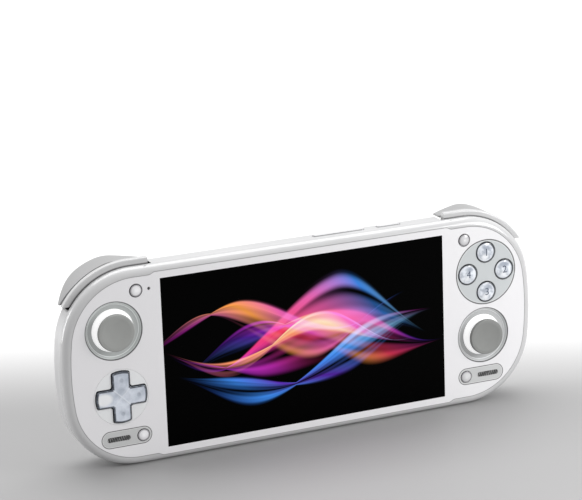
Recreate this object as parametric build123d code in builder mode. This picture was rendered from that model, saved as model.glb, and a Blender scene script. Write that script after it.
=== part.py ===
from build123d import *
import os
from math import asin, atan2, cos, degrees, radians, sin, sqrt, tan

os.makedirs("parts", exist_ok=True)

# Handheld game console, standing upright on its long lower edge. Millimetres.
# X runs to the player's right, Y from the glass to the back, Z up. The origin is the centre
# of the flat strip that it stands on. Places on the face are given as (x, y) from the screen's
# centre, x to the right and y up, and depths are counted backwards from the glass.

# Body shell
body_width = 259.6
body_height = 100.8
body_depth = 16.2
corner_radius = 37.4
side_bulge = 0.8
front_round = 4.0
rear_round = 4.0
front_shell_depth = 5.0
front_wall = 2.0
side_wall = 1.8
back_wall = 1.8
floor_thickness = 1.2
fit_gap = 0.1
overrun = 1.0

# Glass and display
frame_margin = 4.4
glass_thickness = 1.2
band_spare = 2.5
band_rise = 1.2
band_slope = 3.0
band_round = 2.5
screen_from_end = 52.3
screen_from_edge = 6.8
panel_border = 2.0
panel_thickness = 2.2
midframe_thickness = 0.8
midframe_edge_gap = 0.6
microphone_from_end = 46.4
microphone_rise = 39.3
microphone_radius = 0.8
microphone_length = 2.6
microphone_body_radius = 2.0

# Face controls: how far in from the body's ends, and how far above or below its middle
upper_from_end = 27.2
upper_rise = 20.5
lower_from_end = 29.2
lower_drop = 13.5
key_from_end = 39.6
top_key_rise = 39.2
low_key_drop = 35.0

# Thumb sticks
stick_hole_radius = 14.7
stick_pivot_depth = 9.5
stick_cap_radius = 9.4
stick_cap_proud = 4.4
stick_cap_thickness = 2.2
stick_cap_dish = 0.7
stick_cap_dish_radius = 7.6
stick_dish_share = 0.25
stick_cap_round = 0.6
stick_neck_radius = 6.6
dome_radius = 13.15
dome_wall = 0.9
dome_edge_angle = 69.0
dome_gap = 0.3
light_ring_slope_in = 1.6
light_ring_land = 0.1
light_ring_dip = 1.6
light_ring_flange = 1.0
light_ring_flange_thickness = 0.8
stem_radius = 1.9
stem_below_pivot = 2.0
bore_gap = 0.05
yoke_thickness = 1.6
inner_yoke_radius = 4.6
outer_yoke_bore = 5.4
outer_yoke_radius = 6.7
yoke_pin_radius = 0.6
module_size = 16.4
module_top_depth = 7.5
module_depth = 6.2
module_bore_radius = 7.2
module_floor = 1.0
module_round = 1.0
module_ear_length = 38.0
module_ear_width = 5.0
module_ear_thickness = 1.0
module_ear_drop = 2.4

# Cross pad
cross_hole_reach = 13.6
cross_hole_width = 9.9
cross_arm_count = 4
cross_gap = 0.5
cross_proud = 1.0
cross_round = 1.2
cross_edge_round = 0.5
cross_dish_radius = 26.0
cross_dish = 0.35
cross_flange_reach = 14.0
cross_flange_width = 10.6
cross_flange_thickness = 1.0
cross_lift_room = 1.2
cross_plate_radius = 14.2
pivot_ball_radius = 1.2
pivot_sink = 0.45
pivot_gap = 0.05

# Face buttons
button_plate_radius = 17.2
button_pitch_radius = 10.6
button_radius = 5.25
button_gap = 0.35
button_proud = 1.3
button_crown = 0.7
button_edge_round = 0.5
button_flange_radius = 6.3
button_flange_thickness = 0.9
button_foot = 0.4
button_travel = 1.1
seat_gap = 0.3

# Small round keys
key_radius = 2.95
key_gap = 0.35
key_proud = 0.7
key_crown = 0.5
key_flange_radius = 3.9
key_flange_thickness = 0.6
key_stem_radius = 1.5
key_travel = 0.5

# Rubber mats and control boards
board_thickness = 0.8
mat_sheet = 0.7
mat_dome_radius = 2.2
mat_dome_clear = 0.1
cross_mat_radius = 13.0
cross_mat_dome_place = 8.5
cross_mat_dome_height = 0.5
cross_mat_bore = 2.2
button_mat_radius = 15.4
board_inset = 5.2
board_from_end = 48.3
board_stick_radius = 14.2
switch_size = 4.0
switch_height = 1.1
switch_gap = 0.1
post_radius = 2.2
post_tip_radius = 1.3
post_tip_gap = 0.2
post_spread = 17.2

# Speaker insets
inset_length = 26.0
inset_width = 8.5
inset_from_end = 30.9
inset_drop = 34.9
grille_from_end = 26.8
grille_length = 12.2
grille_width = 2.6
grille_sink = 0.3
grille_hole_radius = 0.38
grille_columns = 11
grille_rows = 3
grille_pitch_share = 0.084
grille_row_share = 0.3
speaker_length = 16.0
speaker_width = 8.0
speaker_thickness = 3.6
speaker_cone_wall = 0.8
speaker_cone_depth = 0.9

# Shoulder controls
shoulder_from_end = 48.4
shoulder_from_top = 16.0
shoulder_proud = 3.3
shoulder_end_gap = 1.8
shoulder_low_gap = 2.5
shoulder_floor = 3.6
shoulder_wall = 1.4
bumper_front_gap = 0.25
bumper_depth = 3.6
bumper_inset = 0.5
bumper_round = 1.0
bumper_pin_radius = 0.8
bumper_pin_inset = 1.6
bumper_pin_inward = 2.6
bumper_pin_seat = 1.6
bumper_pin_boss = 1.5
bumper_ear_length = 5.0
bumper_ear_wall = 0.6
trigger_gap = 0.4
trigger_inset = 0.2
trigger_angle = 21.0
trigger_reach = 24.4
trigger_round = 2.0
trigger_crest_drop = 1.35
trigger_crest_fall = 1.15
trigger_crest_round = 20.0
trigger_end_relief = 1.6
trigger_half_length = 26.0
trigger_lobe_shares = [
    (-1.0, 0.44),
    (-0.72, 0.72),
    (-0.38, 0.92),
    (0.08, 1.0),
    (0.42, 0.95),
    (0.7, 0.68),
    (1.0, 0.16),
]
trigger_pin_radius = 0.8
trigger_pin_sink = 1.2
trigger_pin_setback = 1.8
trigger_boss_radius = 1.45
trigger_boss_length = 10.0
trigger_spring_room = 3.2
trigger_ear_width = 2.0
trigger_ear_gap = 0.4
trigger_ear_radius = 1.7
trigger_pocket_rise = 2.3
spring_wire_radius = 0.22
spring_turns = 4
spring_pitch = 0.62
spring_gap = 0.12

# Keys on the top edge
edge_key_depth = 9.7
edge_key_width = 3.1
edge_key_proud = 0.5
edge_key_gap = 0.15
edge_key_round = 0.3
edge_key_flange = 0.7
edge_key_flange_thickness = 0.6
power_from_shoulder = 29.9
power_length = 13.2
volume_from_shoulder = 58.0
volume_length = 28.4
edge_key_travel = 0.3
edge_board_thickness = 0.8
edge_board_margin = 4.0
edge_board_front = 2.5
edge_switch_size = 2.4
edge_switch_height = 1.6
volume_switch_pitch = 18.0
rocker_post_width = 2.0

# Grips on the back
grip_from_end = 43.8
grip_depth = 23.6
grip_start_depth = 12.0
grip_inset = 0.6
grip_draft = 24.0
grip_corner = 12.0
grip_round = 4.0
grip_wall = 2.4
grip_pocket_round = 2.0

# Screws and their bosses
inner_screw_from_end = 46.6
upper_screw_rise = 30.0
lower_screw_drop = 22.0
outer_screw_from_end = 13.3
outer_screw_rise = 2.0
screw_radius = 1.0
screw_head_radius = 1.9
screw_head_height = 1.2
screw_length = 8.4
screw_gap = 0.02
screw_clearance = 0.2
screw_seat_depth = 14.4
screw_socket_radius = 0.7
screw_socket_depth = 0.6
boss_radius = 2.4
rear_boss_radius = 3.1
boss_split_depth = 9.0
board_hole_gap = 0.3

# Works behind the display
battery_size = (60.0, 5.4)
battery_drop = 8.0
battery_from_board = 10.5
battery_gap = 6.0
battery_round = 2.0
mainboard_width = 50.0
mainboard_from_board = 6.5
mainboard_top_margin = 9.4
mainboard_low_margin = 7.4
mainboard_thickness = 1.0
mainboard_lift = 2.2
standoff_radius = 1.8
standoff_inset = 4.0
chip_size = 15.0
chip_height = 1.4
chip_drop = 22.0
memory_size = (12.0, 9.0)
memory_height = 1.0
memory_shift = 12.0
memory_drop = 4.0
heat_plate_size = (34.0, 24.0)
heat_pipe_shift = 12.0
heat_pipe_run = 34.0
heat_plate_thickness = 1.2
heat_pipe_width = 7.0
heat_pipe_height = 1.6
heat_pipe_round_share = 0.33
fan_size = 34.0
fan_height = 6.0
fan_rise = 20.0
fan_wall = 1.0
fan_bore_radius = 15.0
fan_eye_radius = 10.5
fan_round = 4.0
fan_outlet_width = 24.0
rotor_hub_radius = 5.0
rotor_radius = 14.2
rotor_gap = 0.6
rotor_blade_count = 11
rotor_blade_thickness = 0.8
rotor_plate_thickness = 0.8
axle_radius = 1.0
axle_gap = 0.04
vent_slot_length = 18.0
vent_slot_width = 1.6
vent_pitch = 3.4
vent_count = 7
outlet_slot_length = 8.0
outlet_slot_width = 2.0
outlet_pitch = 4.2
outlet_count = 8
outlet_rise = 40.0
usb_width = 9.0
usb_height = 3.3
usb_length = 7.4
usb_wall = 0.35
usb_depth = 8.1
usb_tongue_width = 6.6
usb_tongue_thickness = 0.7
usb_tongue_share = 0.75
usb_place = -14.0
usb_sink = 0.2
socket_board_size = (72.0, 12.0)
socket_board_place = 8.0
socket_board_thickness = 0.8
socket_post_radius = 1.8
socket_post_inset = 4.0
card_shift = 16.0
card_slot_width = 12.4
card_slot_height = 1.2
card_reader_length = 14.0
card_reader_height = 2.2
card_reader_side = 1.0
haptic_radius = 5.0
haptic_thickness = 3.4
haptic_from_end = 21.8
haptic_drop = 12.0

# Places that follow from the sizes above
half_width = body_width / 2
upper_place = (half_width - upper_from_end, upper_rise)
lower_place = (half_width - lower_from_end, -lower_drop)
top_key_place = (half_width - key_from_end, top_key_rise)
low_key_place = (half_width - key_from_end, -low_key_drop)
inset_place = (half_width - inset_from_end, -inset_drop)
grille_place = (half_width - grille_from_end, -low_key_drop)
microphone_place = (microphone_from_end - half_width, microphone_rise)
haptic_place = (half_width - haptic_from_end, -haptic_drop)
screw_places = [
    (half_width - inner_screw_from_end, upper_screw_rise),
    (half_width - inner_screw_from_end, -lower_screw_drop),
    (half_width - outer_screw_from_end, outer_screw_rise),
]
screen_width = body_width - 2 * screen_from_end
screen_height = body_height - 2 * screen_from_edge
shoulder_inner = half_width - shoulder_from_end
shoulder_low = body_height / 2 - shoulder_from_top
bumper_pin_place = shoulder_inner + bumper_pin_inward
power_place = shoulder_inner - power_from_shoulder
volume_place = shoulder_inner - volume_from_shoulder
grip_inner = half_width - grip_from_end
board_inner_edge = half_width - board_from_end
mainboard_x = board_inner_edge - mainboard_from_board - mainboard_width / 2
mainboard_length = body_height - mainboard_top_margin - mainboard_low_margin
mainboard_place = (mainboard_x, (mainboard_low_margin - mainboard_top_margin) / 2)
chip_place = (mainboard_x, -chip_drop)
memory_place = (mainboard_x - memory_shift, -memory_drop)
fan_place = (mainboard_x, fan_rise)
heat_pipe_place = mainboard_x + heat_pipe_shift
card_place = mainboard_x - card_shift
battery_left = battery_from_board - board_inner_edge
battery_right = mainboard_x - mainboard_width / 2 - battery_gap
battery_length = battery_right - battery_left
battery_place = ((battery_left + battery_right) / 2, -battery_drop)
corner_x = half_width - side_bulge - corner_radius
corner_y = body_height / 2 - corner_radius
bulge_run = (side_bulge ** 2 + corner_y ** 2) / (2 * side_bulge)
side_x = corner_x + side_bulge - bulge_run
floor_back = glass_thickness + floor_thickness
rear_cavity_back = body_depth - back_wall
midframe_depth = glass_thickness + panel_thickness
works_depth = midframe_depth + midframe_thickness
flange_depth = floor_back + seat_gap
bumper_start = front_shell_depth + bumper_front_gap
trigger_start = bumper_start + bumper_depth + trigger_gap
edge_top = body_height / 2
cross_flange_depth = floor_back + cross_lift_room
pivot_depth = cross_flange_depth + cross_flange_thickness + pivot_ball_radius - pivot_sink
board_depth = pivot_depth + pivot_ball_radius + pivot_gap
ear_depth = module_top_depth + module_ear_drop


def face_plane(depth):
    """Parallel to the glass at a depth behind it, local x to the right and y up."""
    origin = (0, depth - body_depth / 2, body_height / 2)
    return Plane(origin=origin, x_dir=(1, 0, 0), z_dir=(0, -1, 0))


def turning_plane(place):
    """For round pieces: local x is the radius and local y the height above the glass."""
    origin = (place[0], -body_depth / 2, body_height / 2 + place[1])
    return Plane(origin=origin, x_dir=(1, 0, 0), z_dir=(0, 0, -1))


def turning_axis(place):
    """The axis of a round piece, straight through the glass."""
    return Axis(turning_plane(place).origin, (0, 1, 0))


def at_side(place, side):
    """A place on the face, on the left or the right half."""
    return (place[0] if side == "right" else -place[0], place[1])


def both(place):
    """The same place on the left and the right half."""
    return [at_side(place, "left"), place]


def with_twin(shape):
    """A shape of the right half together with its mirror image on the left."""
    return [shape, shape.mirror(Plane.YZ)]


def keep(piece, name):
    """Label a finished piece and write its STEP file."""
    piece.part.label = name
    export_step(piece.part, f"parts/{name}.step")


def outline(inset):
    """The lobed outline of the body, drawn inside its outer edge by the inset."""
    corner = corner_radius - inset
    blend = degrees(atan2(corner_y, corner_x - side_x))
    with BuildSketch() as shape:
        with BuildLine():
            Line((0, corner_y + corner), (corner_x, corner_y + corner))
            CenterArc((corner_x, corner_y), corner, blend, 90 - blend)
            CenterArc((side_x, 0), corner + bulge_run, -blend, 2 * blend)
            CenterArc((corner_x, -corner_y), corner, -90, 90 - blend)
            Line((corner_x, -corner_y - corner), (0, -corner_y - corner))
            mirror(about=Plane.YZ)
        make_face()
    return shape.sketch


def glass_outline(gap):
    """The glass: the two end lobes and the slightly taller band across the screen."""
    top = corner_y + corner_radius - frame_margin
    run = screen_width / 2 + band_spare
    with BuildSketch() as shape:
        add(outline(frame_margin))
        with BuildLine():
            Polyline(
                (0, top + band_rise),
                (run, top + band_rise),
                (run + band_slope, top),
                (run + band_slope, -top),
                (run, -top - band_rise),
                (0, -top - band_rise),
            )
            mirror(about=Plane.YZ)
        make_face()
        steps = shape.vertices().filter_by(lambda v: run - overrun < abs(v.X) < run + band_slope + overrun)
        fillet(steps, band_round)
        if gap:
            offset(amount=gap)
    return shape.sketch


def zone(inner, low):
    """The upper outer corner of the right half, from an inner x and a low y outwards."""
    with BuildSketch() as shape:
        with Locations((inner, low)):
            Rectangle(body_width, 2 * body_height, align=(Align.MIN, Align.MIN))
    return shape.sketch


def shoulder_strip(outer_inset, inner_inset, inner, low):
    """A strip along the right shoulder between two insets of the outline."""
    with BuildSketch() as shape:
        add(outline(outer_inset))
        add(outline(inner_inset), mode=Mode.SUBTRACT)
        add(zone(inner, low), mode=Mode.INTERSECT)
    return shape.sketch


def trigger_strip():
    """The trigger's strip, lower than the bumper and falling towards the inner end."""
    crest = edge_top + shoulder_proud - trigger_crest_drop
    end_x = half_width + shoulder_proud
    rise = trigger_crest_fall * (end_x - corner_x) / (corner_x - shoulder_inner)
    with BuildSketch() as shape:
        with BuildLine():
            Polyline(
                (shoulder_inner, 0),
                (shoulder_inner, crest - trigger_crest_fall),
                (end_x, crest + rise),
                (end_x, 0),
                close=True,
            )
        make_face()
        strip = shoulder_strip(-shoulder_proud, trigger_inset, shoulder_inner, shoulder_low)
        add(strip, mode=Mode.INTERSECT)
        fillet(shape.vertices().sort_by(Axis.Y)[-1], trigger_crest_round)
    return shape.sketch


def shoulder_notch(spare):
    """What the shoulder controls take out of the body's right half, grown by a wall."""
    inner = shoulder_inner - shoulder_end_gap - spare
    low = shoulder_low - shoulder_low_gap - spare
    return shoulder_strip(-shoulder_proud - overrun, shoulder_floor + spare, inner, low)


def cavity(inset):
    """The room inside the body, clear of its outer wall and of the shoulder walls."""
    with BuildSketch() as shape:
        add(outline(inset))
        add(with_twin(shoulder_notch(shoulder_wall)), mode=Mode.SUBTRACT)
    return shape.sketch


def cross(reach, width, corner_round):
    """A plus sign with arm ends that follow a circle."""
    with BuildSketch() as shape:
        Rectangle(2 * reach, width)
        Rectangle(width, 2 * reach)
        Circle(reach, mode=Mode.INTERSECT)
        if corner_round:
            fillet(shape.vertices(), corner_round)
    return shape.sketch


def face_holes(gap):
    """The openings that the face controls come through, on both halves."""
    with BuildSketch() as shape:
        with Locations(at_side(upper_place, "left"), lower_place):
            Circle(stick_hole_radius + gap)
        with Locations(*both(top_key_place)):
            Circle(key_radius + key_gap + gap)
        with Locations(microphone_place):
            Circle(microphone_radius + gap)
    return shape.sketch


button_steps = [("right", 1, 0), ("top", 0, 1), ("left", -1, 0), ("bottom", 0, -1)]
button_places = [
    (upper_place[0] + button_pitch_radius * across, upper_place[1] + button_pitch_radius * up)
    for name, across, up in button_steps
]
cross_place = at_side(lower_place, "left")
stick_places = {"left": at_side(upper_place, "left"), "right": lower_place}
all_screw_places = [p for place in screw_places for p in both(place)]
post_places = [(x + d, y) for x, y in stick_places.values() for d in (-post_spread, post_spread)]
bumper_pin_places = both((bumper_pin_place, edge_top - bumper_pin_inset))

# Front glass with the openings for every control
with BuildPart() as front_glass:
    with BuildSketch(face_plane(0)):
        add(glass_outline(0))
        add(face_holes(0), mode=Mode.SUBTRACT)
        with Locations(upper_place):
            Circle(button_plate_radius + fit_gap, mode=Mode.SUBTRACT)
        with Locations(cross_place):
            Circle(cross_plate_radius + fit_gap, mode=Mode.SUBTRACT)
        with Locations(*both(inset_place)):
            SlotOverall(inset_length + 2 * fit_gap, inset_width + 2 * fit_gap, mode=Mode.SUBTRACT)
    extrude(amount=-glass_thickness)
keep(front_glass, "front_glass")

# Display panel, bonded behind the glass
panel_size = (screen_width + 2 * panel_border, screen_height + 2 * panel_border)
with BuildPart() as display_panel:
    with BuildSketch(face_plane(glass_thickness)):
        Rectangle(*panel_size)
    extrude(amount=-panel_thickness)
keep(display_panel, "display_panel")

# Front shell: the rounded frame, the floor behind the glass, its bosses and posts
with BuildPart() as front_shell:
    with BuildSketch(face_plane(0)):
        add(outline(0))
    extrude(amount=-front_shell_depth)
    fillet(front_shell.faces().sort_by(Axis.Y)[0].edges(), front_round)
    with BuildSketch(face_plane(0)):
        add(glass_outline(fit_gap))
    extrude(amount=-glass_thickness, mode=Mode.SUBTRACT)
    with BuildSketch(face_plane(floor_back)):
        add(cavity(front_wall))
    extrude(amount=-(front_shell_depth - floor_back + overrun), mode=Mode.SUBTRACT)
    with BuildSketch(face_plane(0)):
        Rectangle(panel_size[0] + 2 * fit_gap, panel_size[1] + 2 * fit_gap)
        add(face_holes(0))
        with Locations(*button_places):
            Circle(button_radius + button_gap)
        with Locations(cross_place):
            add(cross(cross_hole_reach, cross_hole_width, cross_round))
        with Locations(*both(low_key_place)):
            Circle(key_radius + key_gap)
        with Locations(*both(grille_place)):
            SlotOverall(grille_length, grille_width)
    extrude(amount=-floor_back - overrun, mode=Mode.SUBTRACT)
    with BuildSketch(face_plane(floor_back)):
        with Locations(*all_screw_places):
            Circle(boss_radius)
    extrude(amount=-(boss_split_depth - floor_back))
    with BuildSketch(face_plane(floor_back)):
        with Locations(*post_places):
            Circle(post_radius)
    extrude(amount=-(board_depth - floor_back))
    with BuildSketch(face_plane(board_depth)):
        with Locations(*post_places):
            Circle(post_tip_radius)
    extrude(amount=-(ear_depth - board_depth))
    with BuildSketch(face_plane(boss_split_depth)):
        with Locations(*all_screw_places):
            Circle(screw_radius + screw_gap)
    screw_tip = screw_seat_depth - screw_length
    extrude(amount=boss_split_depth - screw_tip + fit_gap, mode=Mode.SUBTRACT)
    with BuildSketch(face_plane(floor_back)):
        with Locations(*bumper_pin_places):
            Circle(bumper_pin_boss)
    extrude(amount=-(front_shell_depth - floor_back))
    with BuildSketch(face_plane(front_shell_depth)):
        with Locations(*bumper_pin_places):
            Circle(bumper_pin_radius)
    extrude(amount=bumper_pin_seat, mode=Mode.SUBTRACT)
keep(front_shell, "front_shell")

# The triggers turn about a pin along the shoulder, seen here from its middle
lean = radians(trigger_angle)
outward = Vector(sin(lean), 0, cos(lean))
along = Vector(cos(lean), 0, -sin(lean))
shoulder_centre = Vector(corner_x, -body_depth / 2, body_height / 2 + corner_y)
trigger_pin_rise = corner_radius - trigger_inset - trigger_pin_sink
trigger_pin_depth = trigger_start + trigger_pin_setback
trigger_pin_point = shoulder_centre + outward * trigger_pin_rise + Vector(0, trigger_pin_depth, 0)


def pin_plane(shift):
    """Square to the trigger's pin at a shift along it, local x outwards, y to the front."""
    return Plane(origin=trigger_pin_point + along * shift, x_dir=outward, z_dir=along)


def grip(inset, inner):
    """The D shape of the right grip where it leaves the back."""
    with BuildSketch() as shape:
        add(outline(inset + grip_corner))
        add(zone(inner + grip_corner, -body_height), mode=Mode.INTERSECT)
        offset(amount=grip_corner)
    return shape.sketch


def slots(length, width, pitch, count):
    """A stack of level round-ended slots about the local origin."""
    with BuildSketch() as shape:
        with GridLocations(0, pitch, 1, count):
            SlotOverall(length, width)
    return shape.sketch


def top_plane(place):
    """On the top edge at an x place, level with the edge keys, local z up."""
    origin = (place, edge_key_depth - body_depth / 2, body_height)
    return Plane(origin=origin, x_dir=(1, 0, 0), z_dir=(0, 0, 1))


def bottom_plane(place, depth):
    """On the bottom edge at an x place and a depth, local z down."""
    origin = (place, depth - body_depth / 2, 0)
    return Plane(origin=origin, x_dir=(1, 0, 0), z_dir=(0, 0, -1))


def crown_middle(radius, edge, top):
    """Halfway along a shallow crown that rises from its rim to the middle."""
    bend = (radius ** 2 + (top - edge) ** 2) / (2 * (top - edge))
    half = asin(radius / bend) / 2
    return (bend * sin(half), top - bend + bend * cos(half))


# Right grip, solid, and the room inside it
grip_slope = tan(radians(grip_draft))
with BuildPart() as grip_body:
    with BuildSketch(face_plane(grip_start_depth)):
        add(grip(grip_inset, grip_inner))
    extrude(amount=-(grip_depth - grip_start_depth), taper=grip_draft)
    fillet(grip_body.faces().sort_by(Axis.Y)[-1].edges(), grip_round)

room_inset = grip_inset + (rear_cavity_back - grip_start_depth) * grip_slope + grip_wall
room_back = grip_depth - grip_wall
with BuildPart() as grip_room:
    with BuildSketch(face_plane(rear_cavity_back)):
        add(grip(room_inset, grip_inner + room_inset - grip_inset))
    extrude(amount=-(room_back - rear_cavity_back), taper=grip_draft)
    fillet(grip_room.faces().sort_by(Axis.Y)[-1].edges(), grip_pocket_round)
    with BuildSketch(face_plane(rear_cavity_back)):
        add(shoulder_notch(shoulder_wall))
    extrude(amount=-body_depth, mode=Mode.SUBTRACT)

# The pair of ears that hold the pin of the right trigger
ear_start = trigger_boss_length / 2 + trigger_ear_gap
pin_half = ear_start + trigger_ear_width
ear_root = trigger_pin_rise - (corner_radius - shoulder_floor - shoulder_wall)
with BuildPart() as trigger_ears:
    for shift in (ear_start, -pin_half):
        with BuildSketch(pin_plane(shift)):
            Circle(trigger_ear_radius)
            Rectangle(ear_root, 2 * trigger_ear_radius, align=(Align.MAX, Align.CENTER))
        extrude(amount=trigger_ear_width)

# Rear shell: the back with grips, shoulder notches, vents, sockets and screw tubes
socket_board_front = usb_depth + usb_height / 2
socket_board_back = socket_board_front + socket_board_thickness
socket_board_middle = -edge_top + side_wall + socket_board_size[1] / 2 + fit_gap
socket_board_at = (socket_board_place, socket_board_middle)
card_depth = socket_board_front - card_reader_height / 2
with BuildPart() as rear_shell:
    with BuildSketch(face_plane(front_shell_depth)):
        add(outline(0))
    extrude(amount=-(body_depth - front_shell_depth))
    fillet(rear_shell.faces().sort_by(Axis.Y)[-1].edges(), rear_round)
    add(with_twin(grip_body.part))
    with BuildSketch(face_plane(front_shell_depth)):
        add(with_twin(shoulder_notch(0)))
    extrude(amount=-body_height, mode=Mode.SUBTRACT)
    with BuildSketch(face_plane(front_shell_depth)):
        add(cavity(side_wall))
    extrude(amount=-(rear_cavity_back - front_shell_depth), mode=Mode.SUBTRACT)
    add(with_twin(grip_room.part), mode=Mode.SUBTRACT)
    add(with_twin(trigger_ears.part))
    with BuildSketch(face_plane(boss_split_depth)):
        with Locations(*all_screw_places):
            Circle(rear_boss_radius)
    extrude(amount=-(rear_cavity_back - boss_split_depth))
    with BuildSketch(face_plane(rear_cavity_back)):
        with Locations(*both(screw_places[-1])):
            Circle(rear_boss_radius)
    extrude(amount=-(room_back - rear_cavity_back))
    with BuildSketch(face_plane(socket_board_back)):
        with Locations(socket_board_at):
            inner_size = [side - 2 * socket_post_inset for side in socket_board_size]
            with GridLocations(*inner_size, 2, 2):
                Circle(socket_post_radius)
    extrude(amount=-(rear_cavity_back - socket_board_back))
    with BuildSketch(face_plane(boss_split_depth)):
        with Locations(*all_screw_places):
            Circle(screw_radius + screw_clearance)
    extrude(amount=-(screw_seat_depth - boss_split_depth), mode=Mode.SUBTRACT)
    with BuildSketch(face_plane(screw_seat_depth)):
        with Locations(*all_screw_places):
            Circle(screw_head_radius + screw_clearance)
    extrude(amount=-(grip_depth - screw_seat_depth), mode=Mode.SUBTRACT)
    with BuildSketch(face_plane(rear_cavity_back)):
        with Locations(fan_place):
            add(slots(vent_slot_length, vent_slot_width, vent_pitch, vent_count))
        with Locations((fan_place[0], outlet_rise)):
            with GridLocations(outlet_pitch, 0, outlet_count, 1):
                SlotOverall(outlet_slot_length, outlet_slot_width, rotation=90)
    extrude(amount=-(back_wall + overrun), mode=Mode.SUBTRACT)
    for place, length in ((power_place, power_length), (volume_place, volume_length)):
        with BuildSketch(top_plane(place)):
            SlotOverall(length + 2 * edge_key_gap, edge_key_width + 2 * edge_key_gap)
        extrude(amount=-side_wall, mode=Mode.SUBTRACT)
    with BuildSketch(bottom_plane(usb_place, usb_depth)):
        SlotOverall(usb_width + 2 * fit_gap, usb_height + 2 * fit_gap)
    extrude(amount=-side_wall, mode=Mode.SUBTRACT)
    with BuildSketch(bottom_plane(card_place, card_depth)):
        Rectangle(card_slot_width, card_slot_height)
    extrude(amount=-side_wall, mode=Mode.SUBTRACT)
    with BuildSketch(pin_plane(-pin_half)):
        Circle(trigger_pin_radius)
    pin_bore = extrude(amount=2 * pin_half, mode=Mode.SUBTRACT)
    add(pin_bore.mirror(Plane.YZ), mode=Mode.SUBTRACT)
keep(rear_shell, "rear_shell")

# Midframe behind the display, with the standoffs that carry the main board
with BuildPart() as midframe:
    with BuildSketch(face_plane(midframe_depth)):
        Rectangle(panel_size[0] - 2 * midframe_edge_gap, panel_size[1] - 2 * midframe_edge_gap)
    extrude(amount=-midframe_thickness)
    with BuildSketch(face_plane(works_depth)):
        with Locations(mainboard_place):
            board_size = (mainboard_width, mainboard_length)
            inner_size = [side - 2 * standoff_inset for side in board_size]
            with GridLocations(*inner_size, 2, 2):
                Circle(standoff_radius)
    extrude(amount=-mainboard_lift)
keep(midframe, "midframe")

# Thumb sticks: light ring, cap, dome with its stem, two yokes and the sensor module
ring_radius = stick_hole_radius - fit_gap
socket_radius = dome_radius + dome_gap
dome_inner = dome_radius - dome_wall
dome_edge = radians(dome_edge_angle)
dome_start = asin(stick_neck_radius / dome_radius)
neck_top = stick_cap_proud - stick_cap_thickness
neck_floor = neck_top - module_ear_thickness


def on_sphere(radius, angle):
    """A point of a stick's profile on a sphere about its pivot, the angle from the stem."""
    return (radius * sin(angle), radius * cos(angle) - stick_pivot_depth)


def sphere_at(radius, height):
    """Where a sphere about the pivot passes a height, as a profile point."""
    return (sqrt(radius ** 2 - (height + stick_pivot_depth) ** 2), height)


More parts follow.
